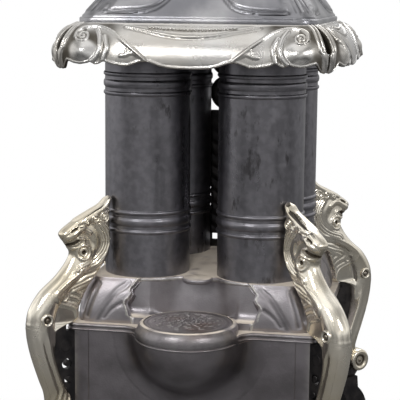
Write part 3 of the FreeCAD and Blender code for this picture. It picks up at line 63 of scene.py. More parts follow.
def awayFrom(x, y, line):  # distance to the nearest point of a finely sampled line
    shape = np.shape(x)
    away = np.full(np.size(x), np.inf)
    for near in np.array_split(line, max(1, len(line) // 40)):  # a few blocks keep the arrays small
        gaps = np.hypot(np.ravel(x)[:, None] - near[:, 0], np.ravel(y)[:, None] - near[:, 1])
        away = np.minimum(away, gaps.min(1))
    return away.reshape(shape)


def ridge(distance, width, height):  # half-round rib: full height on its line, gone at its width
    return height * np.sqrt(np.clip(1 - (distance / width) ** 2, 0, 1))


def bead(distance, middle, width, height):  # half-round rib that runs beside a line, middle away from it
    return ridge(np.abs(distance - middle), width, height)


def inside(x, y, outline):  # even-odd rule: count the edges to the right of each point
    crossings = np.zeros(np.shape(x), int)
    for (ax, ay), (bx, by) in zip(outline, np.roll(outline, -1, 0)):
        level = (ay > y) != (by > y)
        crossings += level & (x < ax + (y - ay) * (bx - ax) / (by - ay + 1e-12))
    return crossings % 2 == 1


def volute(x, y, centre, radius, pitch, height, hand):  # Archimedean spiral rib: one rib for each turn of pitch
    reach = np.hypot(x - centre[0], y - centre[1])
    bearing = np.arctan2(y - centre[1], x - centre[0])
    wave = np.cos(2 * np.pi * (reach / pitch - hand * bearing / (2 * np.pi)))
    return height * (0.5 + 0.5 * wave) * (1 - smoothStep(reach, radius - 1.5, radius + 0.5))


def gridFaces(rows, columns, wrapRows=False, wrapColumns=False, start=0):  # one quad between each four neighbours
    i, j = np.meshgrid(np.arange(rows - (not wrapRows)), np.arange(columns - (not wrapColumns)), indexing="ij")
    below, beside = (i + 1) % rows, (j + 1) % columns
    quads = [i * columns + j, i * columns + beside, below * columns + beside, below * columns + j]
    return np.stack(quads, -1).reshape(-1, 4) + start


def shellOf(outer, inner, wrapColumns=False):  # two walls on the same grid, joined along their open edges
    rows, columns = outer.shape[:2]
    count = rows * columns
    faces = [gridFaces(rows, columns, False, wrapColumns),
             gridFaces(rows, columns, False, wrapColumns, count)[:, ::-1]]
    index = np.arange(count).reshape(rows, columns)
    rims = [(index[0], wrapColumns), (index[-1, ::-1], wrapColumns)]
    if not wrapColumns:
        rims += [(index[::-1, 0], False), (index[:, -1], False)]
    for rim, closed in rims:
        here, there = (rim, np.roll(rim, -1)) if closed else (rim[:-1], rim[1:])
        faces.append(np.stack([there, here, here + count, there + count], -1))
    return np.concatenate([outer.reshape(-1, 3), inner.reshape(-1, 3)]), np.concatenate(faces)


def turned(profile, around, x=0, y=0, closed=True):  # (radius, height) profile carried round an upright axis
    profile = np.asarray(profile, float)
    bearing = np.linspace(0, 2 * np.pi, around, endpoint=False)
    points = np.stack([
        x + profile[:, :1] * np.cos(bearing), y + profile[:, :1] * np.sin(bearing),
        np.repeat(profile[:, 1:], around, 1)], -1)
    return points.reshape(-1, 3), gridFaces(len(profile), around, closed, True)


def joined(*shapes):  # several (points, faces) as one
    start, points, faces = 0, [], []
    for itsPoints, itsFaces in shapes:
        points.append(itsPoints.reshape(-1, 3))
        faces.append(itsFaces + start)
        start += points[-1].shape[0]
    return np.concatenate(points), np.concatenate(faces)


def spun(points, degrees, move=(0, 0, 0)):  # turn about the upright axis, then move
    c, s = math.cos(math.radians(degrees)), math.sin(math.radians(degrees))
    return points @ np.array([[c, s, 0], [-s, c, 0], [0, 0, 1]]) + np.asarray(move, float)


def placed(made, degrees, move=(0, 0, 0)):  # the same for a whole piece, with its faces and hollows
    return spun(made[0], degrees, move), *made[1:]


def boxShape(low, high):
    x, y, z = np.meshgrid(*np.array([low, high]).T, indexing="ij")
    faces = np.array([(0, 1, 3, 2), (4, 6, 7, 5), (0, 4, 5, 1), (2, 3, 7, 6), (0, 2, 6, 4), (1, 5, 7, 3)])
    return np.stack([x.ravel(), y.ravel(), z.ravel()], 1), faces


def hollowFor(values, points):  # hollows for the first points of a mesh, and 0 for the rest
    values = np.ravel(values)
    return np.concatenate([values, np.zeros(len(points) - len(values))])


def meshOf(name, points, faces, cavity=None):  # mesh in metres, with its seams and poles closed
    mesh = bpy.data.meshes.new(name)
    mesh.from_pydata(points * 0.001, [], faces.tolist())  # from millimetres
    # the cavity attribute: above 0 it darkens hollows with grime and painted shade, below 0 it lightens edges with wear
    # and a painted highlight
    if cavity is not None:
        layer = mesh.attributes.new("cavity", "FLOAT", "POINT")
        layer.data.foreach_set("value", np.ascontiguousarray(np.ravel(cavity), np.float32))
    work = bmesh.new()
    work.from_mesh(mesh)
    bmesh.ops.remove_doubles(work, verts=work.verts, dist=1e-6)
    work.to_mesh(mesh)
    work.free()
    return mesh


def addPiece(name, made, finish, body="stove", replaces=(), sharp=40):  # made: points, faces, perhaps hollows
    points, faces, *cavity = made
    points = points.reshape(-1, 3)
    a, b, c, d = (points[faces[:, corner]] for corner in range(4))
    if (np.cross(a, b) * c).sum() + (np.cross(a, c) * d).sum() < 0:  # six times the volume, negative if inside out
        faces = faces[:, ::-1]
    mesh = meshOf(name, points, faces, *cavity)
    mesh.shade_smooth()
    mesh.set_sharp_from_angle(angle=math.radians(sharp))
    mesh.materials.append(finish)
    piece = bpy.data.objects.new(name, mesh)
    bpy.context.collection.objects.link(piece)
    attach(piece, body)
    if replaces:
        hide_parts(*replaces)


# Shader maths: a Flow is a socket that takes part in sums and products

class Flow:
    def __init__(self, tree, socket):
        self.tree, self.socket = tree, socket

    def node(self, kind, settings=None, inputs=None, output=0):  # any node: its settings, then values or links
        made = self.tree.nodes.new(kind)
        for key, value in (settings or {}).items():
            setattr(made, key, value)
        for key, value in (inputs or {}).items():
            if isinstance(value, Flow):
                self.tree.links.new(value.socket, made.inputs[key])
            else:
                made.inputs[key].default_value = value
        return Flow(self.tree, made.outputs[output])

    def maths(self, operation, first, second):
        return self.node("ShaderNodeMath", {"operation": operation}, {0: first, 1: second})

    def __add__(self, other):
        return self.maths("ADD", self, other)

    __radd__ = __add__

    def __sub__(self, other):
        return self.maths("SUBTRACT", self, other)

    def __rsub__(self, other):
        return self.maths("SUBTRACT", other, self)

    def __mul__(self, other):
        return self.maths("MULTIPLY", self, other)

    __rmul__ = __mul__

    def fade(self, low, high, first=0.0, last=1.0):  # from first to last as the value passes low to high
        return self.node("ShaderNodeMapRange", {"interpolation_type": "SMOOTHSTEP"},
                         {0: self, 1: low, 2: high, 3: first, 4: last})

    def blend(self, first, second):  # colours mixed by this value
        return self.node("ShaderNodeMix", {"data_type": "RGBA"}, {0: self, 6: first, 7: second}, 2)

    def noise(self, scale, detail=3.0, rough=0.5, stretch=(1, 1, 1)):  # cloud pattern on these coordinates
        place = self.node("ShaderNodeMapping", None, {0: self, 3: stretch})
        return self.node("ShaderNodeTexNoise", None, {"Vector": place, "Scale": scale, "Detail": detail,
                                                      "Roughness": rough})


def colour(red, green, blue):
    return (red, green, blue, 1.0)


def emptyTree(holder):  # node tree of a material or a world, ready to be filled
    holder.use_nodes = True
    holder.node_tree.nodes.clear()
    return holder.node_tree


def makeFinish(name, build):  # build gets the place on the object, the upward lean of the surface and its hollows
    finish = bpy.data.materials.new(name)
    tree = emptyTree(finish)
    shader = tree.nodes.new("ShaderNodeBsdfPrincipled")
    tree.links.new(shader.outputs[0], tree.nodes.new("ShaderNodeOutputMaterial").inputs[0])
    coordinates = tree.nodes.new("ShaderNodeTexCoord")
    place = Flow(tree, coordinates.outputs["Object"])
    normal = place.node("ShaderNodeSeparateXYZ", None, {0: Flow(tree, coordinates.outputs["Normal"])}, 2)
    hollow = place.node("ShaderNodeAttribute", {"attribute_name": "cavity"}, None, 2)
    for key, value in build(place, normal, hollow).items():
        if isinstance(value, Flow):
            tree.links.new(value.socket, shader.inputs[key])
        else:
            shader.inputs[key].default_value = value
    return finish


def metal(base, roughness, grain, depth, strength=0.5, metallic=1.0):  # shader inputs, with a fine grain in the normals
    bump = base.node("ShaderNodeBump", None, {"Strength": strength, "Distance": depth, "Height": grain})
    return {"Base Color": base, "Roughness": roughness, "Metallic": metallic, "Normal": bump}


# one nickel plate in two copies: lighter on the griffins as painted light, darker on the skirts as painted shade
litGriffinLook = {
    "bright": colour(0.94, 0.885, 0.775), "warm": colour(0.84, 0.75, 0.58), "grimeAndShade": colour(0.085, 0.07, 0.052),
    "roughness": 0.20,
}
shadedSkirtLook = {
    "bright": colour(0.63, 0.62, 0.605), "warm": colour(0.53, 0.505, 0.465), "grimeAndShade": colour(0.10, 0.088, 0.07),
    "roughness": 0.25,
}
castingLook = {
    "dark": colour(0.19, 0.176, 0.184), "pale": colour(0.32, 0.298, 0.315), "rust": colour(0.21, 0.14, 0.125),
    "litDust": colour(0.50, 0.44, 0.365), "wornSheen": colour(0.62, 0.60, 0.57), "sootAndShade": colour(0.02, 0.018, 0.019),
    "roughness": 0.30,
}
# a lighter copy of the stove black for the hearth and ledge: painted light on their upward, well-lit faces
litHearthLook = {**castingLook, "dark": colour(0.30, 0.28, 0.293), "pale": colour(0.46, 0.435, 0.455)}
tubeLook = {
    "dark": colour(0.225, 0.219, 0.238), "pale": colour(0.275, 0.268, 0.29), "scar": colour(0.06, 0.056, 0.056),
    "roughness": 0.25,
}
domeLook = {
    "dark": colour(0.20, 0.20, 0.215), "pale": colour(0.40, 0.395, 0.405), "sootAndShade": colour(0.045, 0.045, 0.05),
    "roughness": 0.24,
}


def nickelFinish(look):
    def build(place, upward, hollow):
        cloud = place.noise(26, 4)
        smear = place.noise(9, 3)
        # grime and painted shade: the nickel darkens in the creases and recesses of the carving
        grimeAndShade = (hollow * cloud.fade(0.25, 0.7, 0.7, 1.2)).fade(0.15, 0.95)
        tone = smear.fade(0.35, 0.7).blend(look["bright"], look["warm"])
        roughness = look["roughness"] + 0.12 * cloud.fade(0.4, 0.75) + 0.35 * grimeAndShade
        return metal(grimeAndShade.blend(tone, look["grimeAndShade"]), roughness, place.noise(70, 4), 0.0006)
    return build


def castingFinish(look, dusty):  # graphite under rust and dust, the dust's pale colour partly standing for light from above; a positive hollow gets soot and painted shade, a negative hollow is a worn, bare edge lightened also as a painted highlight
    def build(place, upward, hollow):
        cloud = place.noise(18, 5)
        grain = place.noise(420, 3)
        rust = place.noise(11, 4).fade(0.46, 0.68) * upward.fade(0.2, 0.9)
        # dust on upward faces, its pale colour standing in part for light falling from above
        litDust = upward.fade(0.66, 0.95) * place.noise(30, 4).fade(0.12, 0.52) * dusty
        # wornSheen: edges lightened as worn bare iron and as a painted highlight where a rolled edge catches the light
        wornSheen = (-1.0 * hollow).fade(0.1, 0.9) * place.noise(110, 3).fade(0.25, 0.6)
        tone = cloud.fade(0.3, 0.7).blend(look["dark"], look["pale"])
        rusted = (0.8 * rust).blend(tone, look["rust"])
        dusted = litDust.blend(rusted, look["litDust"])
        # soot and painted shade darken the creases and hollows
        sootyShaded = hollow.fade(0.1, 1.0, 0.0, 0.85).blend(dusted, look["sootAndShade"])
        roughness = look["roughness"] + 0.14 * cloud + 0.35 * litDust + 0.1 * rust
        return metal(wornSheen.blend(sootyShaded, look["wornSheen"]), roughness, grain + 0.6 * cloud, 0.0005, 0.6, 1.0 - litDust)
    return build


def tubeFinish(place, upward, hollow):  # mottled sheet iron with dark scars that run upright
    mottle = place.noise(95, 4)
    streak = place.noise(12, 4, 0.6, (3, 3, 0.4))
    scar = place.noise(70, 5, 0.6, (1, 1, 0.4)).fade(0.55, 0.66) * place.noise(10, 2).fade(0.45, 0.6)
    tone = mottle.fade(0.35, 0.68).blend(tubeLook["dark"], tubeLook["pale"])
    roughness = tubeLook["roughness"] + 0.16 * streak.fade(0.3, 0.7) + 0.06 * mottle.fade(0.5, 0.7)
    return metal((0.7 * scar).blend(tone, tubeLook["scar"]), roughness, mottle + 0.5 * streak, 0.0004)


def domeFinish(place, upward, hollow):  # graphite rubbed to a dull silver, with soot and painted shade in the creases
    cloud = place.noise(14, 5)
    tone = cloud.fade(0.3, 0.7).blend(domeLook["dark"], domeLook["pale"])
    sootyShaded = hollow.fade(0.1, 1.0, 0.0, 0.8).blend(tone, domeLook["sootAndShade"])
    return metal(sootyShaded, domeLook["roughness"] + 0.14 * cloud, place.noise(240, 3) + cloud, 0.0004)


def plainMetal(bright, stained, roughness):
    def build(place, upward, hollow):
        cloud = place.noise(60, 4)
        tone = cloud.fade(0.35, 0.7).blend(bright, stained)
        return metal(tone, roughness + 0.2 * cloud, place.noise(500, 2), 0.0002)
    return build


# the griffins' nickel is lightened as painted light, the skirts' nickel darkened as painted shade
nickel = makeFinish("litNickelPlate", nickelFinish(litGriffinLook))
shadedSkirtNickel = makeFinish("shadedSkirtNickel", nickelFinish(shadedSkirtLook))
casting = makeFinish("stoveBlack", castingFinish(castingLook, 0.15))
litDustyCasting = makeFinish("litDustyStoveBlack", castingFinish(litHearthLook, 0.9))
tubeIron = makeFinish("tubeBlack", tubeFinish)
domeIron = makeFinish("domeGraphite", domeFinish)
screwSteel = makeFinish("screwSteel", plainMetal(colour(0.50, 0.46, 0.40), colour(0.22, 0.18, 0.14), 0.28))
brass = makeFinish("brass", plainMetal(colour(0.66, 0.46, 0.20), colour(0.36, 0.24, 0.10), 0.26))
# a darker copy of the stove black: painted shade for the legs, the fret and the leg webs that stand in shadow
shadedLegIron = makeFinish("shadedLegBlack", plainMetal(colour(0.045, 0.043, 0.045), colour(0.085, 0.078, 0.077), 0.40))
pipeIron = makeFinish("pipeIron", plainMetal(colour(0.10, 0.095, 0.09), colour(0.14, 0.09, 0.065), 0.45))

slotFinish = {
    "nickel": nickel, "black_casting": casting, "tube_iron": tubeIron, "fastener_steel": screwSteel,
    "brass": brass, "pipe_iron": pipeIron, "burner_iron": pipeIron,
}
slotOf = {part["node"]: part["material_slot"] for part in frame["record"]["subparts"]}
for nodeName, nodeObject in frame["nodes"].items():
    finish = litDustyCasting if nodeName in ("hearth", "ledge") else slotFinish[slotOf[nodeName]]
    finish = shadedLegIron if nodeName.startswith("leg_") and slotOf[nodeName] == "black_casting" else finish
    nodeObject.data.materials.clear()
    nodeObject.data.materials.append(finish)
print("finishes made")


# Corners and sides: what the four corners and the four sides of the stove share

corners = {  # signs of x and y, and the bearing of the diagonal
    "front_left": (-1, -1, 225), "front_right": (1, -1, 315), "rear_left": (-1, 1, 135), "rear_right": (1, 1, 45),
}


def atCorner(made, corner, reach=184.0, height=266.0, turn=0):  # x runs out along the diagonal, from the ledge corner
    x, y, bearing = corners[corner]
    return placed(made, bearing + turn, (x * reach, y * reach, height))


def sideways(points, out, up, hand=1):  # from an upright axis to one across the diagonal, at (out, up)
    return points[:, [0, 2, 1]] * [1, hand, 1] + [out, 0, up]


def sideLength(half, corner):  # half a side of a rounded square, to the middle of its corner
    return half - corner + corner * np.pi / 4


def squareSide(p, half, corner, lift=0):  # x and y along the side that faces -y: straight, then round its corners
    straight = half - corner
    bend = np.clip(np.abs(p) - straight, 0, None) / corner
    x = np.sign(p) * (np.minimum(np.abs(p), straight) + (corner + lift) * np.sin(bend))
    return x, -(straight + (corner + lift) * np.cos(bend))


def wrapped(sides):  # four sides as one closed ring of columns, each a quarter turn on from the last
    return np.concatenate([spun(side[:, :-1], 90 * turn) for turn, side in enumerate(sides)], 1)


# Tubes: sheet iron with three rolled beads near each end

tubeShape = {
    "radius": 63.5, "wall": 1.2, "foot": 330, "length": 360, "axis": 85.7, "around": 144, "plainRows": 13,
    "beadLow": 67, "beadHigh": 63, "beadPitch": 14, "beadHeight": 2.2, "beadWidths": (6, 11, 6),
    "beadRows": 15, "beadSpread": 1.25,
}


def tubeProfile(shape):  # radius = tube + half-round bead wherever a bead is near
    steps = shape["beadPitch"] * np.arange(len(shape["beadWidths"]))
    middles = np.concatenate([shape["beadLow"] + steps, shape["length"] - shape["beadHigh"] - steps[::-1]])
    halves = np.tile(np.array(shape["beadWidths"]) / 2, 2)
    swing = np.sin(np.linspace(-np.pi / 2, np.pi / 2, shape["beadRows"]))
    rings = middles[:, None] + halves[:, None] * shape["beadSpread"] * swing
    height = np.unique(np.concatenate([rings.ravel(), np.linspace(0, shape["length"], shape["plainRows"])]))
    bulge = ridge(np.abs(height[:, None] - middles), halves, shape["beadHeight"]).max(1)
    outer = np.stack([shape["radius"] + bulge, height], 1)
    bore = shape["radius"] - shape["wall"]
    return np.vstack([outer, [(bore, shape["length"]), (bore, 0)]]) + [0, shape["foot"]]


for corner, (x, y, _) in corners.items():
    tube = turned(tubeProfile(tubeShape), tubeShape["around"], x * tubeShape["axis"], y * tubeShape["axis"])
    addPiece(f"tubeShell_{corner}", tube, tubeIron, replaces=[f"tube_{corner}"], sharp=50)
print("tubes made")


# Skirts: four cast nickelled valances, each an arc in section and a rounded corner in plan, carved and swagged

skirtShape = {
    "arcOut": 149.15, "arcUp": 644.36, "radius": 62.0, "topAngle": 68.37, "sweep": 72.4, "wall": 4.0,
    "rim": 702.0, "drop": 62.0, "rimCorner": 26.0, "lowCorner": 75.0, "flange": 30, "gap": 1.2, "gape": 4.2,
    "columns": 461, "rows": 80,
    "edge": [(0, 1.0), (15, 0.998), (29.5, 0.985), (42, 0.95), (54, 0.895), (61, 0.883), (68, 0.885), (75, 0.915),
             (85, 0.962), (95, 0.962), (108, 0.938), (116, 0.90), (120, 0.885), (123, 0.892), (128, 0.93),
             (132.5, 0.942), (137, 0.915), (140, 0.895), (145, 0.92), (155, 0.942), (165, 0.925), (172, 0.895),
             (176, 0.88), (179, 0.91), (182, 0.975), (186, 1.03), (190, 1.045), (194, 1.02), (200, 1.0)],
    "scroll": [(163.5, 0.43), (161.8, 0.31), (155, 0.215), (146, 0.178), (135, 0.168), (124, 0.215), (111, 0.315),
               (99, 0.46), (88, 0.575), (76, 0.70), (66, 0.80), (58.5, 0.885)],
    "arc": [(94, 0.15), (66.5, 0.25), (39.5, 0.345), (20, 0.385), (0, 0.396)],
    "ribs": [  # width, height and the line (along, share of the arc)
        (4.2, 4.4, [(134, 0.26), (128, 0.45), (126.5, 0.65), (131, 0.80), (139, 0.905)]),
        (3.8, 3.4, [(121.5, 0.42), (116.5, 0.62), (119.5, 0.78), (121.5, 0.89)]),
        (3.0, 2.2, [(96, 0.775), (89, 0.765), (80, 0.725), (72, 0.77)]),
        (4.2, 3.0, [(187.5, 0.70), (189.5, 0.84), (190, 0.99)]),
    ],
    "scrollRib": (3.1, 3.4), "arcRib": (2.1, 2.0), "curlRib": (1.9, 2.2), "spiralRib": (2.1, 2.3),  # width and height
    "edgeBead": (1.9, 1.9, 1.5), "topBead": (3.2, 2.2, 1.1), "endBead": (1.9, 1.9, 1.8),  # distance, width and height
    "endRib": (7.6, 2.3, 2.1), "arcGroove": (4.6, 1.3, 0.7),
    "curl": (85.5, 0.705, 5.5, 1.4, 2.6), "spiral": (153.5, 0.40, 10.0, 1.9, 0.15),  # place, reach, turns, bearing
    "ball": (152, 0.69, 21.5, 19.0, 4.2),  # along, share of the arc, half sizes and height
    "shoulder": (1.7, 7.0, 150),  # height, how far it takes to die away and where it ends
    "pearlRow": (0.222, 0.165, 60.0),  # share of the arc in the middle and at the ends, reach
    "pearlPitch": 5.0, "pearlRadius": 2.25, "pearlSides": 14, "pearlSunk": 0.4, "moat": (3.8, 0.8),
}
skirtShape["arcLength"] = skirtShape["radius"] * math.radians(skirtShape["sweep"])


def curlLine(centre, reach, turns, first, count=220):  # spiral from its eye to its reach, ending at the bearing first
    share = np.linspace(0.08, 1, count)
    bearing = first + 2 * np.pi * turns * (1 - share)
    return np.stack([centre[0] + reach * share * np.cos(bearing), centre[1] + reach * share * np.sin(bearing)], 1)


def pearlLine(p, shape):  # sagging line of the pearls: a parabola from its ends to its middle
    middle, ends, reach = shape["pearlRow"]
    return (middle - (middle - ends) * (p / reach) ** 2) * shape["arcLength"]


def skirtRelief(p, s, endGap, shape):  # height of the carving at p along the skirt and s down its arc
    arcLength = shape["arcLength"]
    across = np.abs(p)

    def lineOf(points):
        return throughPoints([(along, share * arcLength) for along, share in points], 160)

    def curlRib(name):
        along, share, reach, turns, first = shape[name]
        line = curlLine((along, share * arcLength), reach, turns, first)
        return ridge(awayFrom(across, s, line), *shape[name + "Rib"])

    toEdge = np.interp(across, *np.array(shape["edge"]).T) * arcLength - s
    ballAt, ballShare, ballWide, ballTall, ballHigh = shape["ball"]
    fromBall = np.hypot((across - ballAt) / ballWide, (s - ballShare * arcLength) / ballTall)
    scroll = lineOf(shape["scroll"])
    toScroll = awayFrom(across, s, scroll)
    below = s > np.interp(across, *scroll[::-1].T)
    high, dying, last = shape["shoulder"]
    relief = np.maximum(ballHigh * (1 - smoothStep(fromBall, 0, 1.15)),
                        high * np.exp(-toScroll / dying) * (below & (across < last)))
    for width, height, points in shape["ribs"]:
        relief = np.maximum(relief, ridge(awayFrom(across, s, lineOf(points)), width, height))
    relief = np.maximum(relief, curlRib("curl")) + curlRib("spiral")
    relief = np.maximum(relief, ridge(toScroll, *shape["scrollRib"]))
    for distance, name in ((toEdge, "edgeBead"), (s, "topBead"), (endGap, "endBead")):
        relief = np.maximum(relief, bead(distance, *shape[name]))
    relief = np.maximum(relief, bead(endGap, *shape["endRib"]) * smoothStep(toEdge, 3, 9))
    toArc = awayFrom(across, s, lineOf(shape["arc"]))
    relief = np.maximum(relief, ridge(toArc, *shape["arcRib"])) - bead(toArc, *shape["arcGroove"])
    reach = shape["pearlRow"][2]
    moat = ridge(np.abs(s - pearlLine(p, shape)), *shape["moat"]) * (1 - smoothStep(across, reach + 2, reach + 6))
    return relief - moat


def skirtSection(w, shape):  # bearing on the arc, half width and corner of the plan, by the share w down it
    angle = np.radians(shape["topAngle"] - shape["sweep"] * w)
    half = shape["arcOut"] + shape["radius"] * np.cos(angle)
    fall = (shape["rim"] - shape["arcUp"] - shape["radius"] * np.sin(angle)) / shape["drop"]
    corner = shape["rimCorner"] + (shape["lowCorner"] - shape["rimCorner"]) * fall
    return angle, half, corner


def skirtSurface(p, w, lift, shape):  # point at p along the plan and w down the arc, lifted square to the arc
    angle, half, corner = skirtSection(w, shape)
    x, y = squareSide(p, half, corner, lift * np.cos(angle))
    return np.stack([x, y, shape["arcUp"] + (shape["radius"] + lift) * np.sin(angle)], -1)


def makePearls(shape):  # a row of half balls on the skirt, each closed below the surface
    bearing = np.linspace(0, 2 * np.pi, shape["pearlSides"], endpoint=False)[None, :]
    rise = np.linspace(0, np.pi / 2, 6)
    out = shape["pearlRadius"] * np.concatenate([[0, 1], np.cos(rise)])[:, None]
    lift = np.concatenate([[-1, -1], shape["pearlRadius"] * np.sin(rise)])[:, None] - shape["pearlSunk"] + 0 * bearing
    faces = gridFaces(len(out), shape["pearlSides"], False, True)
    count = int(shape["pearlRow"][2] / shape["pearlPitch"])
    pearls = []
    for p in shape["pearlPitch"] * np.arange(-count, count + 1):
        s = pearlLine(p, shape) + out * np.sin(bearing)
        pearls.append((skirtSurface(p + out * np.cos(bearing), s / shape["arcLength"], lift, shape), faces))
    return joined(*pearls)


def makeSkirt(shape):  # p runs along the plan, straight and then round the corner; w runs down the arc of the section
    along = np.linspace(-1, 1, shape["columns"])[:, None]
    down = np.linspace(0, 1, shape["rows"])[None, :]
    edgeP, edgeW = np.array(shape["edge"]).T

    def end(w):  # the mitre, eased back where the castings gape above the fingers
        _, half, corner = skirtSection(w, shape)
        gape = shape["gape"] * smoothStep(w, 0.05, 0.45) * (1 - smoothStep(w, 0.64, 0.74))
        return sideLength(half, corner) - shape["gap"] - gape

    w = down * np.ones_like(along)
    for _ in range(4):  # the edge depends on p and the end on w, so settle both
        p = along * end(w)
        w = down * np.interp(np.abs(p), edgeP, edgeW)
    relief = skirtRelief(p, w * shape["arcLength"], end(w) - np.abs(p), shape)
    rim = smoothStep(down, 0, 0.03) * smoothStep(1 - down, 0, 0.02)
    outer = skirtSurface(p, w, relief * rim, shape)
    inner = skirtSurface(p, w, -shape["wall"], shape)
    inner[..., 2] = np.minimum(inner[..., 2], shape["rim"] - shape["wall"] + 0.05)
    seat = skirtSection(np.zeros((1, 1)), shape)[1]
    flangeX = along * (seat - shape["flange"] - shape["gap"])
    flangeY = np.full_like(flangeX, -(seat - shape["flange"]))
    flangeTop = np.stack([flangeX, flangeY, np.full_like(flangeX, shape["rim"] - 0.05)], -1)
    outer = np.concatenate([flangeTop, outer], 1)
    inner = np.concatenate([flangeTop - [0, 0, shape["wall"] - 0.1], inner], 1)
    hollow = np.clip(0.75 - relief / 2.2, 0, 1) * smoothStep(np.abs(p), 90, 118)  # grime and painted shade gather beside the carving
    # painted shade in the grooves and in the moat round the pearls
    hollow = np.maximum(hollow, np.clip(-relief / 1.7, 0, 1))
    # the flange and the whole inner face, under the dome and behind the skirt, are darkened as painted shade
    hollow = np.concatenate([np.ones_like(along), hollow], 1)
    return *shellOf(outer, inner), np.concatenate([hollow.ravel(), np.ones(hollow.size)])


skirt, pearls = makeSkirt(skirtShape), makePearls(skirtShape)
for turn, name in enumerate(("front", "right", "back", "left")):
    addPiece(f"valance_{name}", placed(skirt, 90 * turn), shadedSkirtNickel, replaces=[f"{name}_skirt"], sharp=60)
    addPiece(f"pearls_{name}", placed(pearls, 90 * turn), shadedSkirtNickel)
print("skirts made")


# Hearth: leaf-carved shoulder round the base, flat plate under the tubes and the kettle niche in front

hearthShape = {
    "foot": 266.0, "rise": 64.0, "floor": 276.0, "corner": 26.0, "tube": 85.7, "back": 130.0, "pedestal": 68.0,
    "web": 98.8, "joint": 50.8, "pod": (197.4, 70.2), "cove": 14.0, "rows": 62, "columns": 91,
    "swell": 1.2, "sink": 5.0, "shrink": 0.97,
    "flare": [(0, 174), (0.32, 172), (0.66, 166.4), (0.9, 159.7), (1, 157)],
    "plate": (154, 148, 130, 105, 75, 40, 12, 0.4), "behindNiche": (104, 1.5),  # half widths; half width, row step
    "leafEdge": [(0, 85), (0.14, 87), (0.21, 93.5), (0.36, 95.5), (0.48, 99), (0.54, 97.5), (0.61, 93), (0.69, 90),
                 (0.76, 92.5), (0.81, 92), (0.88, 87), (0.95, 84), (1, 81)],
    "leafRim": (2.2, 2.2, 1.5), "litWornLip": (0.97, 0.02, 0.9), "lip": (0.975, 0.022, 1.0),  # distance, width, height
    "floorRows": 0.35, "coveRows": 0.55, "frontStep": 10.4,
    "frontColumns": [(-1, -0.7, 31), (-0.7, -0.45, 91), (-0.45, 0.45, 81), (0.45, 0.7, 91), (0.7, 1, 31)],
    "creases": [  # width, depth and the line (along, share of the rise)
        (4.0, 2.8, [(141, 0.03), (134, 0.24), (123, 0.50), (112, 0.72), (102, 0.83), (97, 0.92)]),
        (2.8, 1.6, [(130, 0.12), (122, 0.28), (114, 0.38), (105, 0.46)]),
        (3.0, 1.8, [(156, 0.14), (151.5, 0.40), (146, 0.64), (140.5, 0.86)]),
        (4.2, 6.0, [(168, 0.30), (162, 0.55), (154, 0.79), (147.5, 0.88)]),
    ],
    "tongue": [(0, 330.9), (19.5, 330.9), (21.3, 330.2), (22, 328.6), (22, 325.4), (20.6, 324), (0, 324)],
}


def leafRelief(across, height, shape):  # creases cut in, the leaf between them swelling a little
    relief = shape["swell"] + 0 * across
    hollow = 0 * across
    for width, depth, points in shape["creases"]:
        line = throughPoints([(along, share * shape["rise"]) for along, share in points], 120)
        groove = np.exp(-(awayFrom(across, height, line) / width) ** 2)
        relief = relief - depth * groove
        # soot and painted shade along the creases
        hollow = np.maximum(hollow, 0.6 * groove)
    calm = smoothStep(across, 82, 96) * smoothStep(height, 0, 5) * (1 - smoothStep(height, 58, 64))
    return relief * calm, hollow * calm


def smoothWall(shape):  # plan of the niche wall: a hollow round between two pedestals, its joints eased by averaging
    x = np.linspace(-140, 140, 561)
    across = np.abs(x)
    web = -(shape["back"] + shape["web"]) + np.sqrt(np.clip(shape["web"] ** 2 - across ** 2, 0, None))
    pedestal = -shape["tube"] - np.sqrt(shape["pedestal"] ** 2 - np.clip(across - shape["tube"], -60, 60) ** 2)
    wall = np.where(across < shape["joint"], web, pedestal)
    near = np.exp(-(np.linspace(-2, 2, 61) ** 2))
    eased = np.convolve(np.pad(wall, len(near) // 2, "edge"), near / near.sum(), "valid")
    return np.stack([x, eased], 1)


def nichePoints(across, share, shape):  # floor, quarter-round cove and wavy wall: hollow between two rounds
    wall = np.interp(across, *smoothWall(shape).T)
    podAt, podRadius = shape["pod"]
    face = -shape["flare"][0][1]
    front = np.where(across < podRadius, np.sqrt(np.clip(podRadius ** 2 - across ** 2, 0, None)) - podAt, face)
    front = np.minimum(np.maximum(front, face), wall - 0.6)
    cove = np.minimum(shape["cove"], 0.8 * (wall - front))
    floorRows, coveRows = shape["floorRows"], shape["coveRows"]
    flat = np.clip(share / floorRows, 0, 1)
    turn = np.clip((share - floorRows) / (coveRows - floorRows), 0, 1) * np.pi / 2
    climb = np.clip((share - coveRows) / (1 - coveRows), 0, 1)
    ahead = np.clip(0.35 * (wall - front - cove), 0, 8)  # the wall leans back from its foot, most in the middle
    behind = 2.2 + 8 * (1 - smoothStep(across, 22, 50))
    y = front + (wall - ahead - cove - front) * flat + cove * np.sin(turn) + (ahead + behind) * climb
    top = shape["foot"] + shape["rise"]
    z = shape["floor"] + cove * (1 - np.cos(turn)) + (top - shape["floor"] - cove) * climb
    return y - bead(share, *shape["lip"]), z - shape["frontStep"] * (1 - smoothStep(share, 0, 0.04))


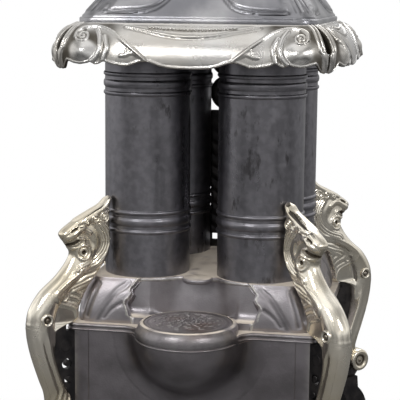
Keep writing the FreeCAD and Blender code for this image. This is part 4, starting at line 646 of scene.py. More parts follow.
def hearthSide(shape, share, opened):  # one side of the shoulder, foot to top, then the plate inwards to the middle
    flare = throughPoints(shape["flare"], shape["rows"])
    rise, half = flare[:, :1], flare[:, 1:]
    p = share * sideLength(half, shape["corner"])
    across = np.abs(p)
    relief, hollow = leafRelief(across, rise * shape["rise"] + 0 * p, shape)
    edge = np.interp(rise, *np.array(shape["leafEdge"]).T)
    if opened:
        rim = bead(across - edge, *shape["leafRim"])
        relief = np.maximum(relief, rim)
        # the leaf's rim is lightened: wear and a painted highlight on its edge
        hollow = hollow - rim
    x, y = squareSide(p, half, shape["corner"], relief)
    z = shape["foot"] + shape["rise"] * rise + 0 * p
    plate = np.array(shape["plate"])[:, None]
    plateCorner = np.minimum(shape["corner"], 0.9 * plate)
    plateX, plateY = squareSide(share * sideLength(plate, plateCorner), plate, plateCorner)
    if opened:  # the niche takes the shoulder's place inside the leaf's edge; the plate starts behind it
        backY, backZ = nichePoints(across, rise + 0 * p, shape)
        niche = 1 - smoothStep(across - edge, -1.3, 1.3)
        y = y + (backY - y) * niche
        z = z + (backZ - z) * niche
        # the wall's top lip is lightened: wear and a painted highlight along the edge
        hollow = np.where(niche > 0.5, -bead(rise, *shape["litWornLip"]), hollow)
        reach, step = shape["behindNiche"]
        behind = y[-1] + step * (1 + np.arange(len(plate)))[:, None]
        plateY = np.maximum(plateY, np.where(np.abs(plateX) < reach, behind, plateY))
    points = np.stack([np.concatenate([x, plateX]), np.concatenate([y, plateY]),
                       np.concatenate([z, np.full_like(plateX, shape["foot"] + shape["rise"])])], -1)
    return points, np.concatenate([hollow, 0 * plateX])


def makeHearth(shape):
    front = np.unique(np.concatenate([np.linspace(*span) for span in shape["frontColumns"]]))
    plain = np.linspace(-1, 1, shape["columns"])
    sides = [hearthSide(shape, front, True)] + [hearthSide(shape, plain, False)] * 3
    outer = wrapped([points for points, _ in sides])
    hollow = np.concatenate([cavity[:, :-1] for _, cavity in sides], 1)
    sink = np.concatenate([np.linspace(0, 1, shape["rows"]), np.ones(len(shape["plate"]))])[:, None]
    inner = outer * [shape["shrink"], shape["shrink"], 1]
    inner[..., 2] -= shape["sink"] * sink
    tongue = turned(shape["tongue"], 72, 0, -shape["back"], closed=False)
    points, faces = joined(shellOf(outer, inner, True), tongue)
    return points, faces, hollowFor(hollow, points)


addPiece("hearthCasting", makeHearth(hearthShape), litDustyCasting, replaces=["hearth"], sharp=50)
print("hearth made")


# Front: panel with a soft round belly, and the corner posts beside it

frontShape = {
    "half": 154.5, "low": 119.0, "high": 255.0, "face": 179.0, "wall": 5.0, "columns": 161, "rows": 91, "edge": 2.0,
    "proud": 0.8,
    "belly": [(0, 89.7), (15, 88.1), (30, 83.1), (42, 76), (52, 67), (60, 57), (66, 46.5), (71, 36.5), (76, 26.5),
              (82, 16.5), (90, 8.4), (101, 2.8), (116, 0.5), (132, 0), (300, 0)],
    "post": [(-36, 0), (-20, 0), (-3, 0), (-1.4, -0.35), (-0.35, -1.4), (0, -3), (0, -20), (0, -36)],
    "postInner": [(-36, -6), (-22, -6), (-9, -6), (-7.5, -6.3), (-6.3, -7.5), (-6, -9), (-6, -22), (-6, -36)],
    "postSheenWear": (0, 0, 0.5, 1, 1, 0.5, 0, 0), "postTurn": -45,
}


def makeFront(shape):  # panel face moved out by the belly, whose depth depends on the distance from the pod's axis
    x = np.linspace(-shape["half"], shape["half"], shape["columns"])[:, None]
    z = np.linspace(shape["low"], shape["high"], shape["rows"])[None, :]
    belly = throughPoints(shape["belly"], 600)
    depth = np.interp(np.hypot(x, z - shape["high"]), belly[:, 0], np.clip(belly[:, 1], 0, None))
    edge = shape["edge"]
    roll = edge - ridge(edge - np.minimum(shape["half"] - np.abs(x), edge), edge, edge)
    y = -(shape["face"] + shape["proud"] + depth) + roll
    outer = np.stack([x + 0 * z, y, z + 0 * x], -1)
    inner = np.stack([x + 0 * z, np.minimum(y + shape["wall"], -shape["face"] + shape["wall"]), z + 0 * x], -1)
    return shellOf(outer, inner)


def makePost(shape):  # angle section with a rounded corner, upright between base plate and ledge
    levels = (shape["low"], shape["high"])
    walls = (np.array([[(x, y, z) for x, y in shape[key]] for z in levels]) for key in ("post", "postInner"))
    points, faces = shellOf(*walls)
    # the rounded corner of the post is lightened: wear and a painted highlight along the edge
    return points, faces, hollowFor(-np.tile(np.array(shape["postSheenWear"]), 2), points)


addPiece("frontCasting", makeFront(frontShape), casting, replaces=["front_panel"], sharp=60)
post = makePost(frontShape)
for corner in corners:
    addPiece(f"post_{corner}", atCorner(post, corner, frontShape["face"], 0, frontShape["postTurn"]), casting,
             replaces=[f"corner_post_{corner}"], sharp=70)
print("front and posts made")


# Ledge lips: two rolled lines round the edge of the ledge and the pod, and the bold round of the pod below the lid

lipShape = {
    "half": 184.0, "corner": 12.0, "pod": (197.4, 74.0), "hollow": (98.32, 25.0), "bearing": 6.7,
    "lines": [(256.6, 1.6, 0.3), (262.6, 3.2, -1.6)],  # height, radius and how far out
    "collar": [(64.6, 279.0), (66.6, 279.3), (69.4, 278.4), (72.2, 276.0), (74.4, 272.4), (75.8, 268.0),
               (76.3, 263.0), (76.0, 259.6)],
    "collarFoot": [(74.0, 258.8), (64.6, 258.8)], "sunk": 16.0, "sheenWear": -0.3,
}


def ledgeLine(shape):  # outline of the ledge, anticlockwise from the rear left corner
    def arc(x, y, radius, first, last, count):
        bearing = np.radians(np.linspace(first, last, count))
        return np.stack([x + radius * np.cos(bearing), y + radius * np.sin(bearing)], 1)

    reach = shape["half"] - shape["corner"]
    podAt, podRadius = shape["pod"]
    hollowX, hollowRadius = shape["hollow"]
    lean = shape["bearing"]
    hollowY = -shape["half"] - hollowRadius
    return np.concatenate([
        arc(-reach, reach, shape["corner"], 90, 180, 12), arc(-reach, -reach, shape["corner"], 180, 270, 12),
        arc(-hollowX, hollowY, hollowRadius, 90, lean, 24), arc(0, -podAt, podRadius, 180 + lean, 360 - lean, 90),
        arc(hollowX, hollowY, hollowRadius, 180 - lean, 90, 24), arc(reach, -reach, shape["corner"], -90, 0, 12),
        arc(reach, reach, shape["corner"], 0, 90, 12)])


def beadAlong(line, height, radius, out, around=10):  # round bead carried along a closed level line
    ahead = np.roll(line, -1, 0) - np.roll(line, 1, 0)
    ahead = ahead / np.linalg.norm(ahead, axis=1, keepdims=True)
    side = np.stack([ahead[:, 1], -ahead[:, 0]], 1)
    bearing = np.linspace(0, 2 * np.pi, around, endpoint=False)
    reach = out + radius * np.cos(bearing)
    flat = line[:, None] + side[:, None] * reach[None, :, None]
    rise = np.broadcast_to(height + radius * np.sin(bearing), flat.shape[:2])
    return np.concatenate([flat, rise[..., None]], -1).reshape(-1, 3), gridFaces(len(line), around, True, True)


def makeCollar(shape):  # turned round that sinks into the niche floor towards the back
    podAt, podRadius = shape["pod"]
    profile = np.vstack([throughPoints(shape["collar"], 40), shape["collarFoot"]])
    points, faces = turned(profile, 144, 0, -podAt)
    points[:, 2] -= shape["sunk"] * smoothStep((points[:, 1] + podAt) / podRadius, -0.35, 0.05)
    return points, faces


lips = joined(*(beadAlong(ledgeLine(lipShape), *line) for line in lipShape["lines"]), makeCollar(lipShape))
# the lips are lightened a little all along: wear and a painted highlight on the rolls
addPiece("ledgeLips", (*lips, np.full(len(lips[0]), lipShape["sheenWear"])), casting, sharp=60)
print("ledge lips made")


# Lid: round cast lid with a generic relief, its raised strokes lightened with wear and a painted highlight

lidShape = {
    "at": -197.4, "low": 275.0, "radius": 63.5, "spigot": 55.9, "around": 256, "rings": 90, "stroke": 1.3, "sheenWear": -0.6,
    "top": [(0, 6.5), (30, 6.4), (50, 5.2), (53, 5.0), (54.5, 4.0), (57.5, 4.0), (58.5, 5.0), (62.3, 5.0), (63.5, 4.0)],
}


def makeLid(shape):  # height above the seat by radius, plus short raised strokes in rings
    radius = np.linspace(0.02, shape["radius"], shape["rings"])[:, None]
    bearing = np.linspace(0, 2 * np.pi, shape["around"], endpoint=False)[None, :]
    top = np.interp(radius, *np.array(shape["top"]).T)
    swirl = np.sin(9 * bearing + 0.28 * radius) * np.sin(0.62 * radius)
    swirl = swirl + 0.8 * np.sin(16 * bearing - 0.5 * radius) * np.cos(0.45 * radius)
    stroke = smoothStep(swirl, 0.35, 0.8) * smoothStep(radius, 4, 9) * (1 - smoothStep(radius, 49, 52))
    z = shape["low"] + top + shape["stroke"] * stroke
    upper = np.stack([radius * np.cos(bearing), radius * np.sin(bearing) + shape["at"], z], -1)
    under = np.interp(radius, [0, shape["spigot"] - 0.4, shape["spigot"] + 0.4, 64], [-3.5, -3.5, 0, 0])
    lower = np.stack([upper[..., 0], upper[..., 1], shape["low"] + under + 0 * bearing], -1)
    points, faces = shellOf(upper, lower, True)
    return points, faces, hollowFor(shape["sheenWear"] * stroke, points)


addPiece("lidCasting", makeLid(lidShape), casting, body="lid", replaces=["pot_lid"], sharp=50)
print("lid made")


# Dome: rounded square that narrows to the vent, with a cushion panel each side of a hollow middle and fluted corners

domeShape = {  # the profile's points are half width, height and corner radius
    "rim": [(172, 702, 26), (172, 707.6, 26), (171, 709, 26), (169.2, 709.4, 26), (168.6, 712, 26), (166.4, 714.2, 26)],
    "body": [(166, 715, 26), (148.9, 738.7, 32), (127, 762.4, 39.7), (103.8, 779.8, 47.8), (81.8, 790, 55.5),
             (66, 794, 61)],
    "vent": [(60, 794.4, 57), (45.5, 794.2, 45.2), (44.2, 793.4, 44)], "wall": 6.0, "columns": 121, "rows": 70,
    "panel": [(40, 744), (45.5, 734), (55, 724.5), (66, 720), (80, 717.2), (100, 715.8), (122, 715.2), (131, 716.5)],
    "cushion": 3.4, "middle": (4.5, 30), "panelRib": (1.5, 1.5), "spiral": (133, 722.5, 6.4, 1.7, 1.2),
    "spiralRib": (1.5, 1.9), "flute": (7.2, 2.1, 0.8),  # width and height; pitch, height and depth
    "bar": (44.0, 8.0, 788.0, 793.6), "leastHalf": 120,
}


def domeRelief(p, z, shape):  # cushions above the panel line, a hollow between them, flutes round the corners
    across = np.abs(p)
    panel = throughPoints(shape["panel"], 140)
    toPanel = awayFrom(across, z, panel)
    above = z > np.interp(across, *panel.T)
    fade = 1 - smoothStep(z, 745, 775)
    cushion = shape["cushion"] * smoothStep(toPanel, 0, 9) * above * (1 - smoothStep(across, 122, 136))
    depth, wide = shape["middle"]
    middle = -depth * np.exp(-(across / wide) ** 2) * smoothStep(z, 716, 730)
    relief = np.maximum(cushion + middle, ridge(toPanel, *shape["panelRib"])) * fade
    curl = curlLine(shape["spiral"][:2], *shape["spiral"][2:])
    relief = np.maximum(relief, ridge(awayFrom(across, z, curl), *shape["spiralRib"]))
    corner = smoothStep(across, 140, 146) * smoothStep(z, 715, 719) * (1 - smoothStep(z, 770, 790))
    pitch, high, low = shape["flute"]
    flutes = np.abs(np.sin(np.pi * across / pitch))
    # painted shade beside the panel rib and in the flute valleys
    hollow = np.maximum(0.8 * np.exp(-((toPanel - 3) / 2.4) ** 2) * fade, corner * (1 - flutes) ** 0.6)
    return relief + high * corner * flutes - low * corner, hollow


def makeDome(shape):
    profile = np.concatenate([shape["rim"], throughPoints(shape["body"], shape["rows"]), shape["vent"]])
    half, z, corner = (profile[:, k:k + 1] for k in range(3))
    p = np.linspace(-1, 1, shape["columns"]) * sideLength(half, corner)
    carved = np.zeros((len(profile), 1))
    carved[len(shape["rim"]):-len(shape["vent"])] = 1
    widest = shape["body"][0][0]
    fields = domeRelief(p * widest / np.maximum(half, shape["leastHalf"]), z + 0 * p, shape)
    relief, hollow = (field * carved for field in fields)
    outer = np.stack([*squareSide(p, half, corner, relief), z + 0.35 * relief], -1)
    inset = np.minimum(shape["wall"], half - 38)
    inner = np.stack([*squareSide(p, half, corner, -inset), z - shape["wall"] * smoothStep(z, 712, 790) + 0 * p], -1)
    reach, wide, low, high = shape["bar"]
    bar = boxShape((-reach, -wide, low), (reach, wide, high))
    points, faces = joined(shellOf(wrapped([outer] * 4), wrapped([inner] * 4), True), bar)
    return points, faces, hollowFor(np.tile(hollow[:, :-1], 4), points)


addPiece("domeCasting", makeDome(domeShape), domeIron, replaces=["dome"], sharp=50)
print("dome made")


# Rear fret: closed panel with a leafy relief below, a chain of flat rings above, a foot and a head for its screws

fretShape = {
    "middle": 116.0, "thick": 2.0, "half": 28.4, "waist": 25.8, "beads": (397, 425), "low": 330.0, "panelTop": 556.0,
    "slot": (342.0, 352.0, 23.0), "cheek": 4.0, "leaf": 1.8, "rings": (584.5, 639.5), "ringOut": 28.2, "ringIn": 13.0,
    "ringThick": 2.4, "tab": 25.0, "tabBack": 132.0, "tabThick": 4.0, "high": 690.0, "headLow": 665.0,
    "columns": 41, "rows": 181,
}


def flatRing(outer, inner, thick, x, y, z, around=72):  # rounded flat ring that faces along y
    lean = np.linspace(0, 2 * np.pi, 16, endpoint=False)
    middle, half = (outer + inner) / 2, (outer - inner) / 2
    points, faces = turned(np.stack([middle + half * np.cos(lean), thick * np.sin(lean)], 1), around)
    return points[:, [0, 2, 1]] + [x, y, z], faces


def fretSheet(low, high, shape):  # panel with sprays of leaves, narrow beside the beads of the tubes
    z = np.linspace(low, high, shape["rows"])[:, None]
    first, last = shape["beads"]
    narrow = smoothStep(z, first - 8, first - 4) * (1 - smoothStep(z, last + 4, last + 8))
    half = shape["half"] - (shape["half"] - shape["waist"]) * narrow
    x = np.linspace(-1, 1, shape["columns"])[None, :] * half
    across = np.abs(x)
    leaf = np.abs(np.sin(0.16 * (z - shape["low"]) - 0.11 * across)) * (1 - smoothStep(across, half - 4, half - 1))
    leaf = leaf * smoothStep(z, low, low + 6) * (1 - smoothStep(z, 480, 552))
    front = np.stack([x, shape["middle"] - shape["thick"] - shape["leaf"] * leaf, z + 0 * x], -1)
    back = np.stack([x, np.full_like(x, shape["middle"] + shape["thick"]), z + 0 * x], -1)
    return shellOf(front, back)


def makeFret(shape):  # panel, rings, the frame of the slot below and the tabs that carry the screws
    slotLow, slotHigh, slotHalf = shape["slot"]
    near, far = shape["middle"] - shape["thick"], shape["middle"] + shape["thick"]
    low, high, tab, tabBack, tabThick = (shape[key] for key in ("low", "high", "tab", "tabBack", "tabThick"))
    ringSizes = (shape["ringOut"], shape["ringIn"], shape["ringThick"])
    cheek = slotHalf + shape["cheek"]
    boxes = [
        ((-cheek, near, low), (-slotHalf, far, slotHigh)), ((slotHalf, near, low), (cheek, far, slotHigh)),
        ((-slotHalf, near, low), (slotHalf, far, slotLow)), ((-tab, far, low), (tab, tabBack, low + tabThick)),
        ((-tab, near, shape["headLow"]), (tab, far, high)), ((-tab, far, high - tabThick), (tab, tabBack, high)),
    ]
    return joined(fretSheet(slotHigh, shape["panelTop"], shape),
                  *(flatRing(*ringSizes, 0, shape["middle"], z) for z in shape["rings"]),
                  *(boxShape(*box) for box in boxes))


addPiece("fretCasting", makeFret(fretShape), shadedLegIron, replaces=["rear_fret"], sharp=50)
print("fret made")


# Leg webs: iron left standing in the round windows, so that only a curl and a half moon show through

webShape = {
    "filled": [(3.5, -34.0, 9.2), (0.6, -61.6, 5.0), (-2.4, -86.0, 4.6)], "half": 4.0, "bevel": 0.8, "sides": 40,
}


def makeFilling(shape):  # bevelled discs in the frame of the griffins
    half, bevel = shape["half"], shape["bevel"]
    discs = []
    for out, up, radius in shape["filled"]:
        rim = [(0, half), (radius - bevel, half), (radius, half - bevel)]
        points, faces = turned(rim + [(r, -y) for r, y in rim[::-1]], shape["sides"], closed=False)
        discs.append((sideways(points, out, up), faces))
    return joined(*discs)


filling = makeFilling(webShape)
for corner in corners:
    addPiece(f"webFilling_{corner}", atCorner(filling, corner), shadedLegIron)
print("leg webs made")


# Griffins: upright castings in the diagonal plane of each corner, "out" from the ledge corner and "up" from the ledge

griffinShape = {
    "rows": 301, "columns": 100, "neckRound": 21.0, "edgeRound": 8.0,
    "browRound": 24.0, "earRound": 8.0, "sides": 48,
    "ribs": [  # inner edge (out, up), outer edge (out, up), half thickness of the body and of the flat behind it
        (-8, -137, 28, -141, 12, 9), (-6, -118, 36, -120, 13, 9), (2, -100, 38, -103, 14, 9),
        (13, -76, 46, -80, 15.5, 10), (21, -47, 57, -46, 17, 11), (21, -24, 63, -20, 18, 12),
        (18, -10, 65, -4, 18.5, 12), (1, -2, 65, 1, 18.5, 9), (-17, 3.5, 64.5, 7, 18.5, 7),
        (-20, 22, 60, 25, 18.3, 7), (-32, 48, 44, 48, 17.5, 9), (-48, 69, 18, 69, 16.5, 10),
        (-64, 90, 0, 90, 15, 10.5), (-70, 110, -5, 104, 14, 11), (-70.5, 126, 4, 119, 13.5, 11),
        (-70.5, 141, 11, 133, 12.5, 10.5), (-70.5, 152, -8, 147.5, 10.5, 10), (-71, 162, -36, 161.5, 9, 8.5),
        (-72, 171, -54, 170, 7.5, 7), (-73.5, 178.5, -63, 178, 5.5, 5.5), (-73, 182, -69, 182, 2, 2),
    ],
    "wingRibs": (9, 15),  # the ribs whose inner edge closes the wing
    "collar": [(-67.5, 113.5), (-60, 98), (-49.7, 86), (-19.5, 76), (7.5, 63), (24, 49), (22, 38), (12, 29.5),
               (-8, 21.3), (-13.5, 7)],
    "collarRib": (2.6, 2.4), "feather": (9.0, 1.9, 0.4),  # width and height; pitch, height and depth
    "lines": [  # width, height and line: under the wing, horn, top of the nose, brow and lip
        (2.2, 2.2, [(-61, 77), (-44, 66), (-24, 58.5), (-6, 53), (8, 45), (12, 39)]),
        (8.5, 2.8, [(-71.5, 180), (-60.5, 171.5), (-47, 164.5), (-32.5, 158), (-19, 153)]),
        (4.0, 1.8, [(8, 131), (-1, 138), (-11, 144)]),
        (4.6, 3.2, [(3, 126), (-8, 132.5), (-17, 137.5), (-25, 137), (-33, 132)]),
        (2.0, 2.2, [(0, 109.5), (-9, 110.5), (-18, 113), (-22.5, 118), (-21, 123.5), (-13, 125)]),
    ],
    "mouth": [(0, 116), (-6, 118), (-13, 121.5)], "eye": [(-3, 136), (-7, 138.5), (-11.5, 140)],
    "cuts": (4.2, 2.6, 2.4),  # depth of the mouth, the pit of the rosette and the eye
    "rosette": (-22, 104), "rosetteReach": 13, "rosetteRings": [(10.5, 2.4, 2.2), (5.4, 1.9, 1.8)],
    "locks": [(-50, 143), (-58, 132), (-62, 118), (-58, 104), (-48, 93), (-34, 84), (-16, 78)], "strand": (4.4, 2.0),
    "cheek": [(-24, 141), (-36, 134), (-43, 122), (-42, 109), (-35, 97)], "cheekSwell": (6.0, 1.6),
    "curls": [(-58, 153, 8.5, 1), (-42, 152.5, 8, -1), (-28, 148.5, 6, 1), (9, 41, 8.5, -1)],
    "footFold": (1.1, 9.5), "legFlute": (1.0, 15.0, 4.0),  # height and pitch; depth, pitch and start
    "legBead": (2.6, 1.8, 1.2),  # distance, width and height
    "scroll": (41, -142, 19.0, 13.9), "screw": (41, 11.5), "screwSeat": 18.8, "scrollEye": 3.0,  # scroll: place, sizes
    "boss": [(0, 18.7), (5.0, 18.7), (6.0, 20.2), (7.2, 21.2), (8.6, 20.8), (9.5, 19.3), (9.9, 17.0), (9.9, 12.0),
             (0, 12.0)],
    "head": [(0, 1.6), (1.6, 1.4), (2.9, 0.7), (3.4, 0), (3.4, -1.5), (0, -1.5)],
}


def griffinRelief(a, b, shape):  # carving of the head, the mane and wing behind the neck, and the folds at the foot
    def toLine(points, count=90):
        return awayFrom(a, b, throughPoints(points, count))

    first, last = shape["wingRibs"]
    collar = throughPoints(shape["collar"], 120)
    wing = inside(a, b, np.vstack([collar, np.array(shape["ribs"], float)[first:last, :2]]))
    toCollar, toLocks = awayFrom(a, b, collar), toLine(shape["locks"], 120)
    pitch, high, low = shape["feather"]
    feather = np.abs(np.sin(np.pi * (toCollar / pitch + 0.05 * np.sin(0.21 * a - 0.17 * b)))) ** 0.7
    strand, strandHigh = shape["strand"]
    strands = np.abs(np.sin(np.pi * (toLocks - strand / 2) / strand)) ** 0.8 * (1 - smoothStep(toLocks, 7, 9.5))
    cheekWide, cheekHigh = shape["cheekSwell"]
    relief = np.maximum(np.where(wing, high * feather - low, 0.0), strandHigh * strands)
    relief = np.maximum(relief, cheekHigh * np.exp(-(toLine(shape["cheek"]) / cheekWide) ** 2))
    relief = np.maximum(relief, ridge(toCollar, *shape["collarRib"]))
    for width, height, points in shape["lines"]:
        relief = np.maximum(relief, ridge(toLine(points), width, height))
    for curlA, curlB, size, hand in shape["curls"]:
        bump = ridge(np.hypot(a - curlA, b - curlB), size + 1.5, 1.6)
        relief = np.maximum(relief, bump + volute(a, b, (curlA, curlB), size, 0.62 * size, 1.7, hand))
    fromRosette = np.hypot(a - shape["rosette"][0], b - shape["rosette"][1])
    relief = np.where(fromRosette < shape["rosetteReach"], 0, relief)
    for ring in shape["rosetteRings"]:
        relief = np.maximum(relief, bead(fromRosette, *ring))
    pit = 1 - smoothStep(fromRosette, 1.2, 3.6)
    slit = 1 - smoothStep(toLine(shape["mouth"], 40), 1.0, 2.8)
    crease = 1 - smoothStep(toLine(shape["eye"], 40), 0.6, 2.4)
    for depth, cut in zip(shape["cuts"], (slit, pit, crease)):
        relief = relief - depth * cut
    foot = 1 - smoothStep(b, -112, -92)
    fold, foldPitch = shape["footFold"]
    relief = relief + foot * fold * np.cos((a + 0.25 * b) * 2 * np.pi / foldPitch)
    carved = np.maximum(wing, smoothStep(b, 96, 104)) * (1 - smoothStep(b, 146, 156))
    # painted shade in the low carving and at the foot folds, deepest in the mouth, the rosette's pit and the eye
    hollow = np.clip(0.7 - relief / 2.2, 0, 1) * np.maximum(0.7 * carved, 0.3 * foot)
    return relief, np.clip(hollow + slit + pit + 0.7 * crease, 0, 1)


def sideTurned(profile, out, up, hand, sides, lift=0.0):  # profile carried round an axis that runs across the casting
    points, faces = turned(np.asarray(profile, float) + [0, lift], sides, closed=False)
    return sideways(points, out, up, hand), faces[:, ::-hand]


def griffinBody(shape):  # ribs run from inner to outer edge; each half stands off the middle plane by its thickness
    ribs = throughPoints(shape["ribs"], shape["rows"])
    innerA, innerB, outerA, outerB, bodyHalf, backHalf = (ribs[:, k:k + 1] for k in range(6))
    turnRound = np.linspace(0, 2 * np.pi, 2 * shape["columns"], endpoint=False)
    t = (1 - np.cos(turnRound)) / 2
    hand = np.where(turnRound < np.pi, 1.0, -1.0)
    a, b = innerA * (1 - t) + outerA * t, innerB * (1 - t) + outerB * t
    width = np.hypot(outerA - innerA, outerB - innerB)
    fromOuter, fromInner = width * (1 - t), width * t

    def rolledFrom(distance, radius, height):  # flat that rolls off to nothing at its edge
        radius = np.minimum(radius, width / 2)
        return ridge(radius - np.minimum(distance, radius), radius, height)

    roundness = np.minimum(shape["neckRound"], width / 2)
    body = ridge(fromOuter - roundness, roundness, bodyHalf)
    brow = shape["browRound"] + (shape["earRound"] - shape["browRound"]) * smoothStep(innerB, 143, 157)
    back = np.minimum(rolledFrom(fromInner, shape["edgeRound"], backHalf), rolledFrom(fromOuter, brow, backHalf))
    thickness = (body ** 8 + back ** 8) ** 0.125  # the thicker of the two, with a soft join
    relief, hollow = griffinRelief(a, b, shape)
    leg = smoothStep(-b, 4, 26) * (1 - smoothStep(-b, 96, 112))  # flutes and a beaded outer edge
    depth, pitch, start = shape["legFlute"]
    flutes = depth * np.cos(2 * np.pi * (fromOuter - start) / pitch) * smoothStep(fromOuter, start, start + 3)
    relief = relief + leg * (bead(fromOuter, *shape["legBead"]) - flutes)
    thickness = thickness + relief * smoothStep(thickness, 1.0, 6.0)
    faces = [gridFaces(len(ribs), len(t), False, True)]
    half = len(t) // 2
    for end, flip in ((0, 1), ((len(ribs) - 1) * len(t), -1)):  # close each end across, from one half to the other
        ring = end + np.arange(len(t))
        near, far = ring[:half + 1], np.concatenate([ring[:1], ring[:half - 1:-1]])
        faces.append(np.stack([near[:-1], near[1:], far[1:], far[:-1]], -1)[:, ::flip])
    return (np.stack([a, hand * thickness, b], -1), np.concatenate(faces)), hollow.ravel()


def makeGriffin(shape):  # body, the scroll at its foot and the two bosses for the upper screw
    body, hollow = griffinBody(shape)
    out, up, radius, wide = shape["scroll"]
    face = [(0, wide - 3), (4.5, wide - 3), (7.5, wide - 4), (9.5, wide - 3.2), (12, wide - 0.4), (14.5, wide),
            (17, wide - 0.8), (radius - 0.4, wide - 3.5), (radius, wide - 6)]
    knob, knobFaces = turned(face + [(r, -y) for r, y in face[::-1]], 2 * shape["sides"], closed=False)
    # painted shade in the groove round the scroll's eye and in the boss's seat
    knobHollow = 0.9 * (1 - smoothStep(np.abs(np.hypot(knob[:, 0], knob[:, 1]) - 8), 1, 4))
    bosses = [sideTurned(shape["boss"], *shape["screw"], hand, shape["sides"]) for hand in (1, -1)]
    bossHollow = np.repeat(np.array(shape["boss"])[:, 0] < 5.5, shape["sides"]).astype(float)
    points, faces = joined(body, (sideways(knob, out, up), knobFaces[:, ::-1]), *bosses)
    return points, faces, np.concatenate([hollow, knobHollow, bossHollow, bossHollow])


def makeScrews(shape):  # domed heads in the bosses and in the eyes of the foot scrolls, on both sides
    out, up, _, wide = shape["scroll"]
    heads = []
    for hand in (1, -1):
        heads.append(sideTurned(shape["head"], *shape["screw"], hand, shape["sides"], shape["screwSeat"]))
        heads.append(sideTurned(shape["head"], out, up, hand, shape["sides"], wide - shape["scrollEye"]))
    return joined(*(atCorner(joined(*heads), corner) for corner in corners))


griffin = makeGriffin(griffinShape)
for corner in corners:
    addPiece(f"griffinCasting_{corner}", atCorner(griffin, corner), nickel,
             replaces=[f"griffin_{corner}"], sharp=60)
addPiece("griffinScrewHeads", makeScrews(griffinShape), screwSteel, replaces=["griffin_screws"])
print("griffins made")


# Studio: dark floor that fades to white, white surround, soft lamps and the camera of the photograph

studio = {
    "floorRadius": 2600, "floorDepth": -0.4, "floorTone": colour(0.12, 0.12, 0.12),
    "surround": 0.8, "aim": (0, 0, 0.45),
    "lamps": [  # place, size, power, seen in gloss
        ((-0.8, -2.0, 1.9), 0.5, 12, True), ((1.5, -1.6, 1.7), 0.5, 10, True), ((0.0, -0.6, 2.6), 1.6, 5, True),
        ((0.3, 1.7, 2.4), 1.4, 18, True), ((0.25, -2.3, 1.1), 0.5, 60, False),
    ],
    "cameraAt": (0.3535, -1.9590, 0.7454), "yaw": 10.85, "pitch": 9.13, "roll": 0.52, "focal": 1293.8, "frame": 400,
}


def makeFloor():  # flat disc of rings; away from the stove the camera sees plain white
    ring = np.linspace(0, studio["floorRadius"], 25)
    mesh = meshOf("floor", *turned(np.stack([ring, np.full_like(ring, studio["floorDepth"])], 1), 96, closed=False))
    finish = bpy.data.materials.new("paleFloor")
    tree = emptyTree(finish)
    place = Flow(tree, tree.nodes.new("ShaderNodeTexCoord").outputs["Object"])
    reach = place.node("ShaderNodeVectorMath", {"operation": "LENGTH"}, {0: place}, 1)
    seen = place.node("ShaderNodeLightPath")  # its first output: is a camera ray
    matt = place.node("ShaderNodeBsdfDiffuse", None, {0: studio["floorTone"]})
    white = place.node("ShaderNodeEmission", None, {0: colour(1, 1, 1), 1: 1.0})
    mixed = place.node("ShaderNodeMixShader", None, {0: seen * reach.fade(0.2, 0.42), 1: matt, 2: white})
    tree.links.new(mixed.socket, tree.nodes.new("ShaderNodeOutputMaterial").inputs[0])
    mesh.materials.append(finish)
    floor = bpy.data.objects.new("floor", mesh)
    bpy.context.collection.objects.link(floor)


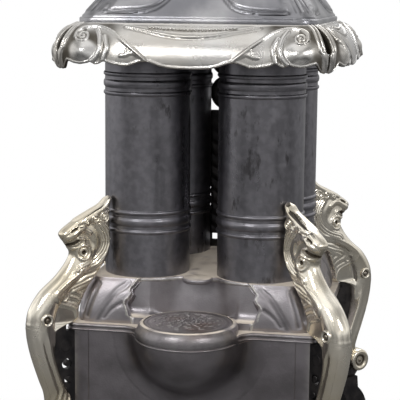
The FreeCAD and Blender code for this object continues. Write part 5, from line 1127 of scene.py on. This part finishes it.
def makeSurround():  # white to the camera; a clouded room in gloss, brighter above, behind and at the left; even fill
    world = bpy.data.worlds.new("surround")
    bpy.context.scene.world = world
    tree = emptyTree(world)
    rays = tree.nodes.new("ShaderNodeLightPath")
    direct = Flow(tree, rays.outputs["Is Camera Ray"]) + Flow(tree, rays.outputs["Is Transmission Ray"])
    gloss = Flow(tree, rays.outputs["Is Glossy Ray"])
    way = Flow(tree, tree.nodes.new("ShaderNodeTexCoord").outputs["Generated"])
    aside, front, above = (way.node("ShaderNodeSeparateXYZ", None, {0: way}, axis) for axis in range(3))
    ahead = front.fade(-1.0, -0.75, 0.26, 0.0) * above.fade(-0.24, -0.08)
    sky = above.fade(-0.12, 0.26, 0.06, 0.54) + front.fade(0.0, 0.8, 0.0, 0.3)
    sides = aside.fade(-0.92, -0.6, 0.46, 0.0) + aside.fade(0.67, 0.92, 0.0, 0.16)  # the left is the brighter
    glow = (sky + sides + ahead) * way.noise(2.2, 2).fade(0.36, 0.64, 0.6, 1.3)
    strength = direct + gloss * glow + (1 - direct - gloss) * studio["surround"]
    back = way.node("ShaderNodeBackground", None, {0: colour(1, 1, 1), 1: strength})
    tree.links.new(back.socket, tree.nodes.new("ShaderNodeOutputWorld").inputs[0])


def makeLamps():
    for index, (spot, size, power, seen) in enumerate(studio["lamps"]):
        lamp = bpy.data.lights.new(f"softLamp{index}", "AREA")
        lamp.energy, lamp.size = power, size
        holder = bpy.data.objects.new(f"softLamp{index}", lamp)
        aim = Vector(studio["aim"]) - Vector(spot)
        holder.matrix_world = Matrix.Translation(spot) @ aim.to_track_quat("-Z", "Y").to_matrix().to_4x4()
        holder.visible_glossy = seen
        bpy.context.collection.objects.link(holder)


def makeCamera():  # look along yaw and pitch, then roll about the view
    yaw, pitch, roll = (math.radians(studio[key]) for key in ("yaw", "pitch", "roll"))
    ahead = Vector((-math.sin(yaw) * math.cos(pitch), math.cos(yaw) * math.cos(pitch), -math.sin(pitch)))
    right = Vector((math.cos(yaw), math.sin(yaw), 0))
    up = right.cross(ahead)
    across = math.cos(roll) * right + math.sin(roll) * up
    rise = math.cos(roll) * up - math.sin(roll) * right
    turn = Matrix((across, rise, -ahead)).transposed().to_4x4()
    lens = bpy.data.cameras.new("camera")
    lens.sensor_fit, lens.sensor_width = "HORIZONTAL", 36.0
    lens.lens = studio["focal"] / studio["frame"] * lens.sensor_width
    holder = bpy.data.objects.new("camera", lens)
    holder.matrix_world = Matrix.Translation(studio["cameraAt"]) @ turn
    bpy.context.collection.objects.link(holder)
    bpy.context.scene.camera = holder


makeFloor()
makeSurround()
makeLamps()
makeCamera()
bpy.context.scene.view_settings.view_transform = "Standard"
print("studio made")
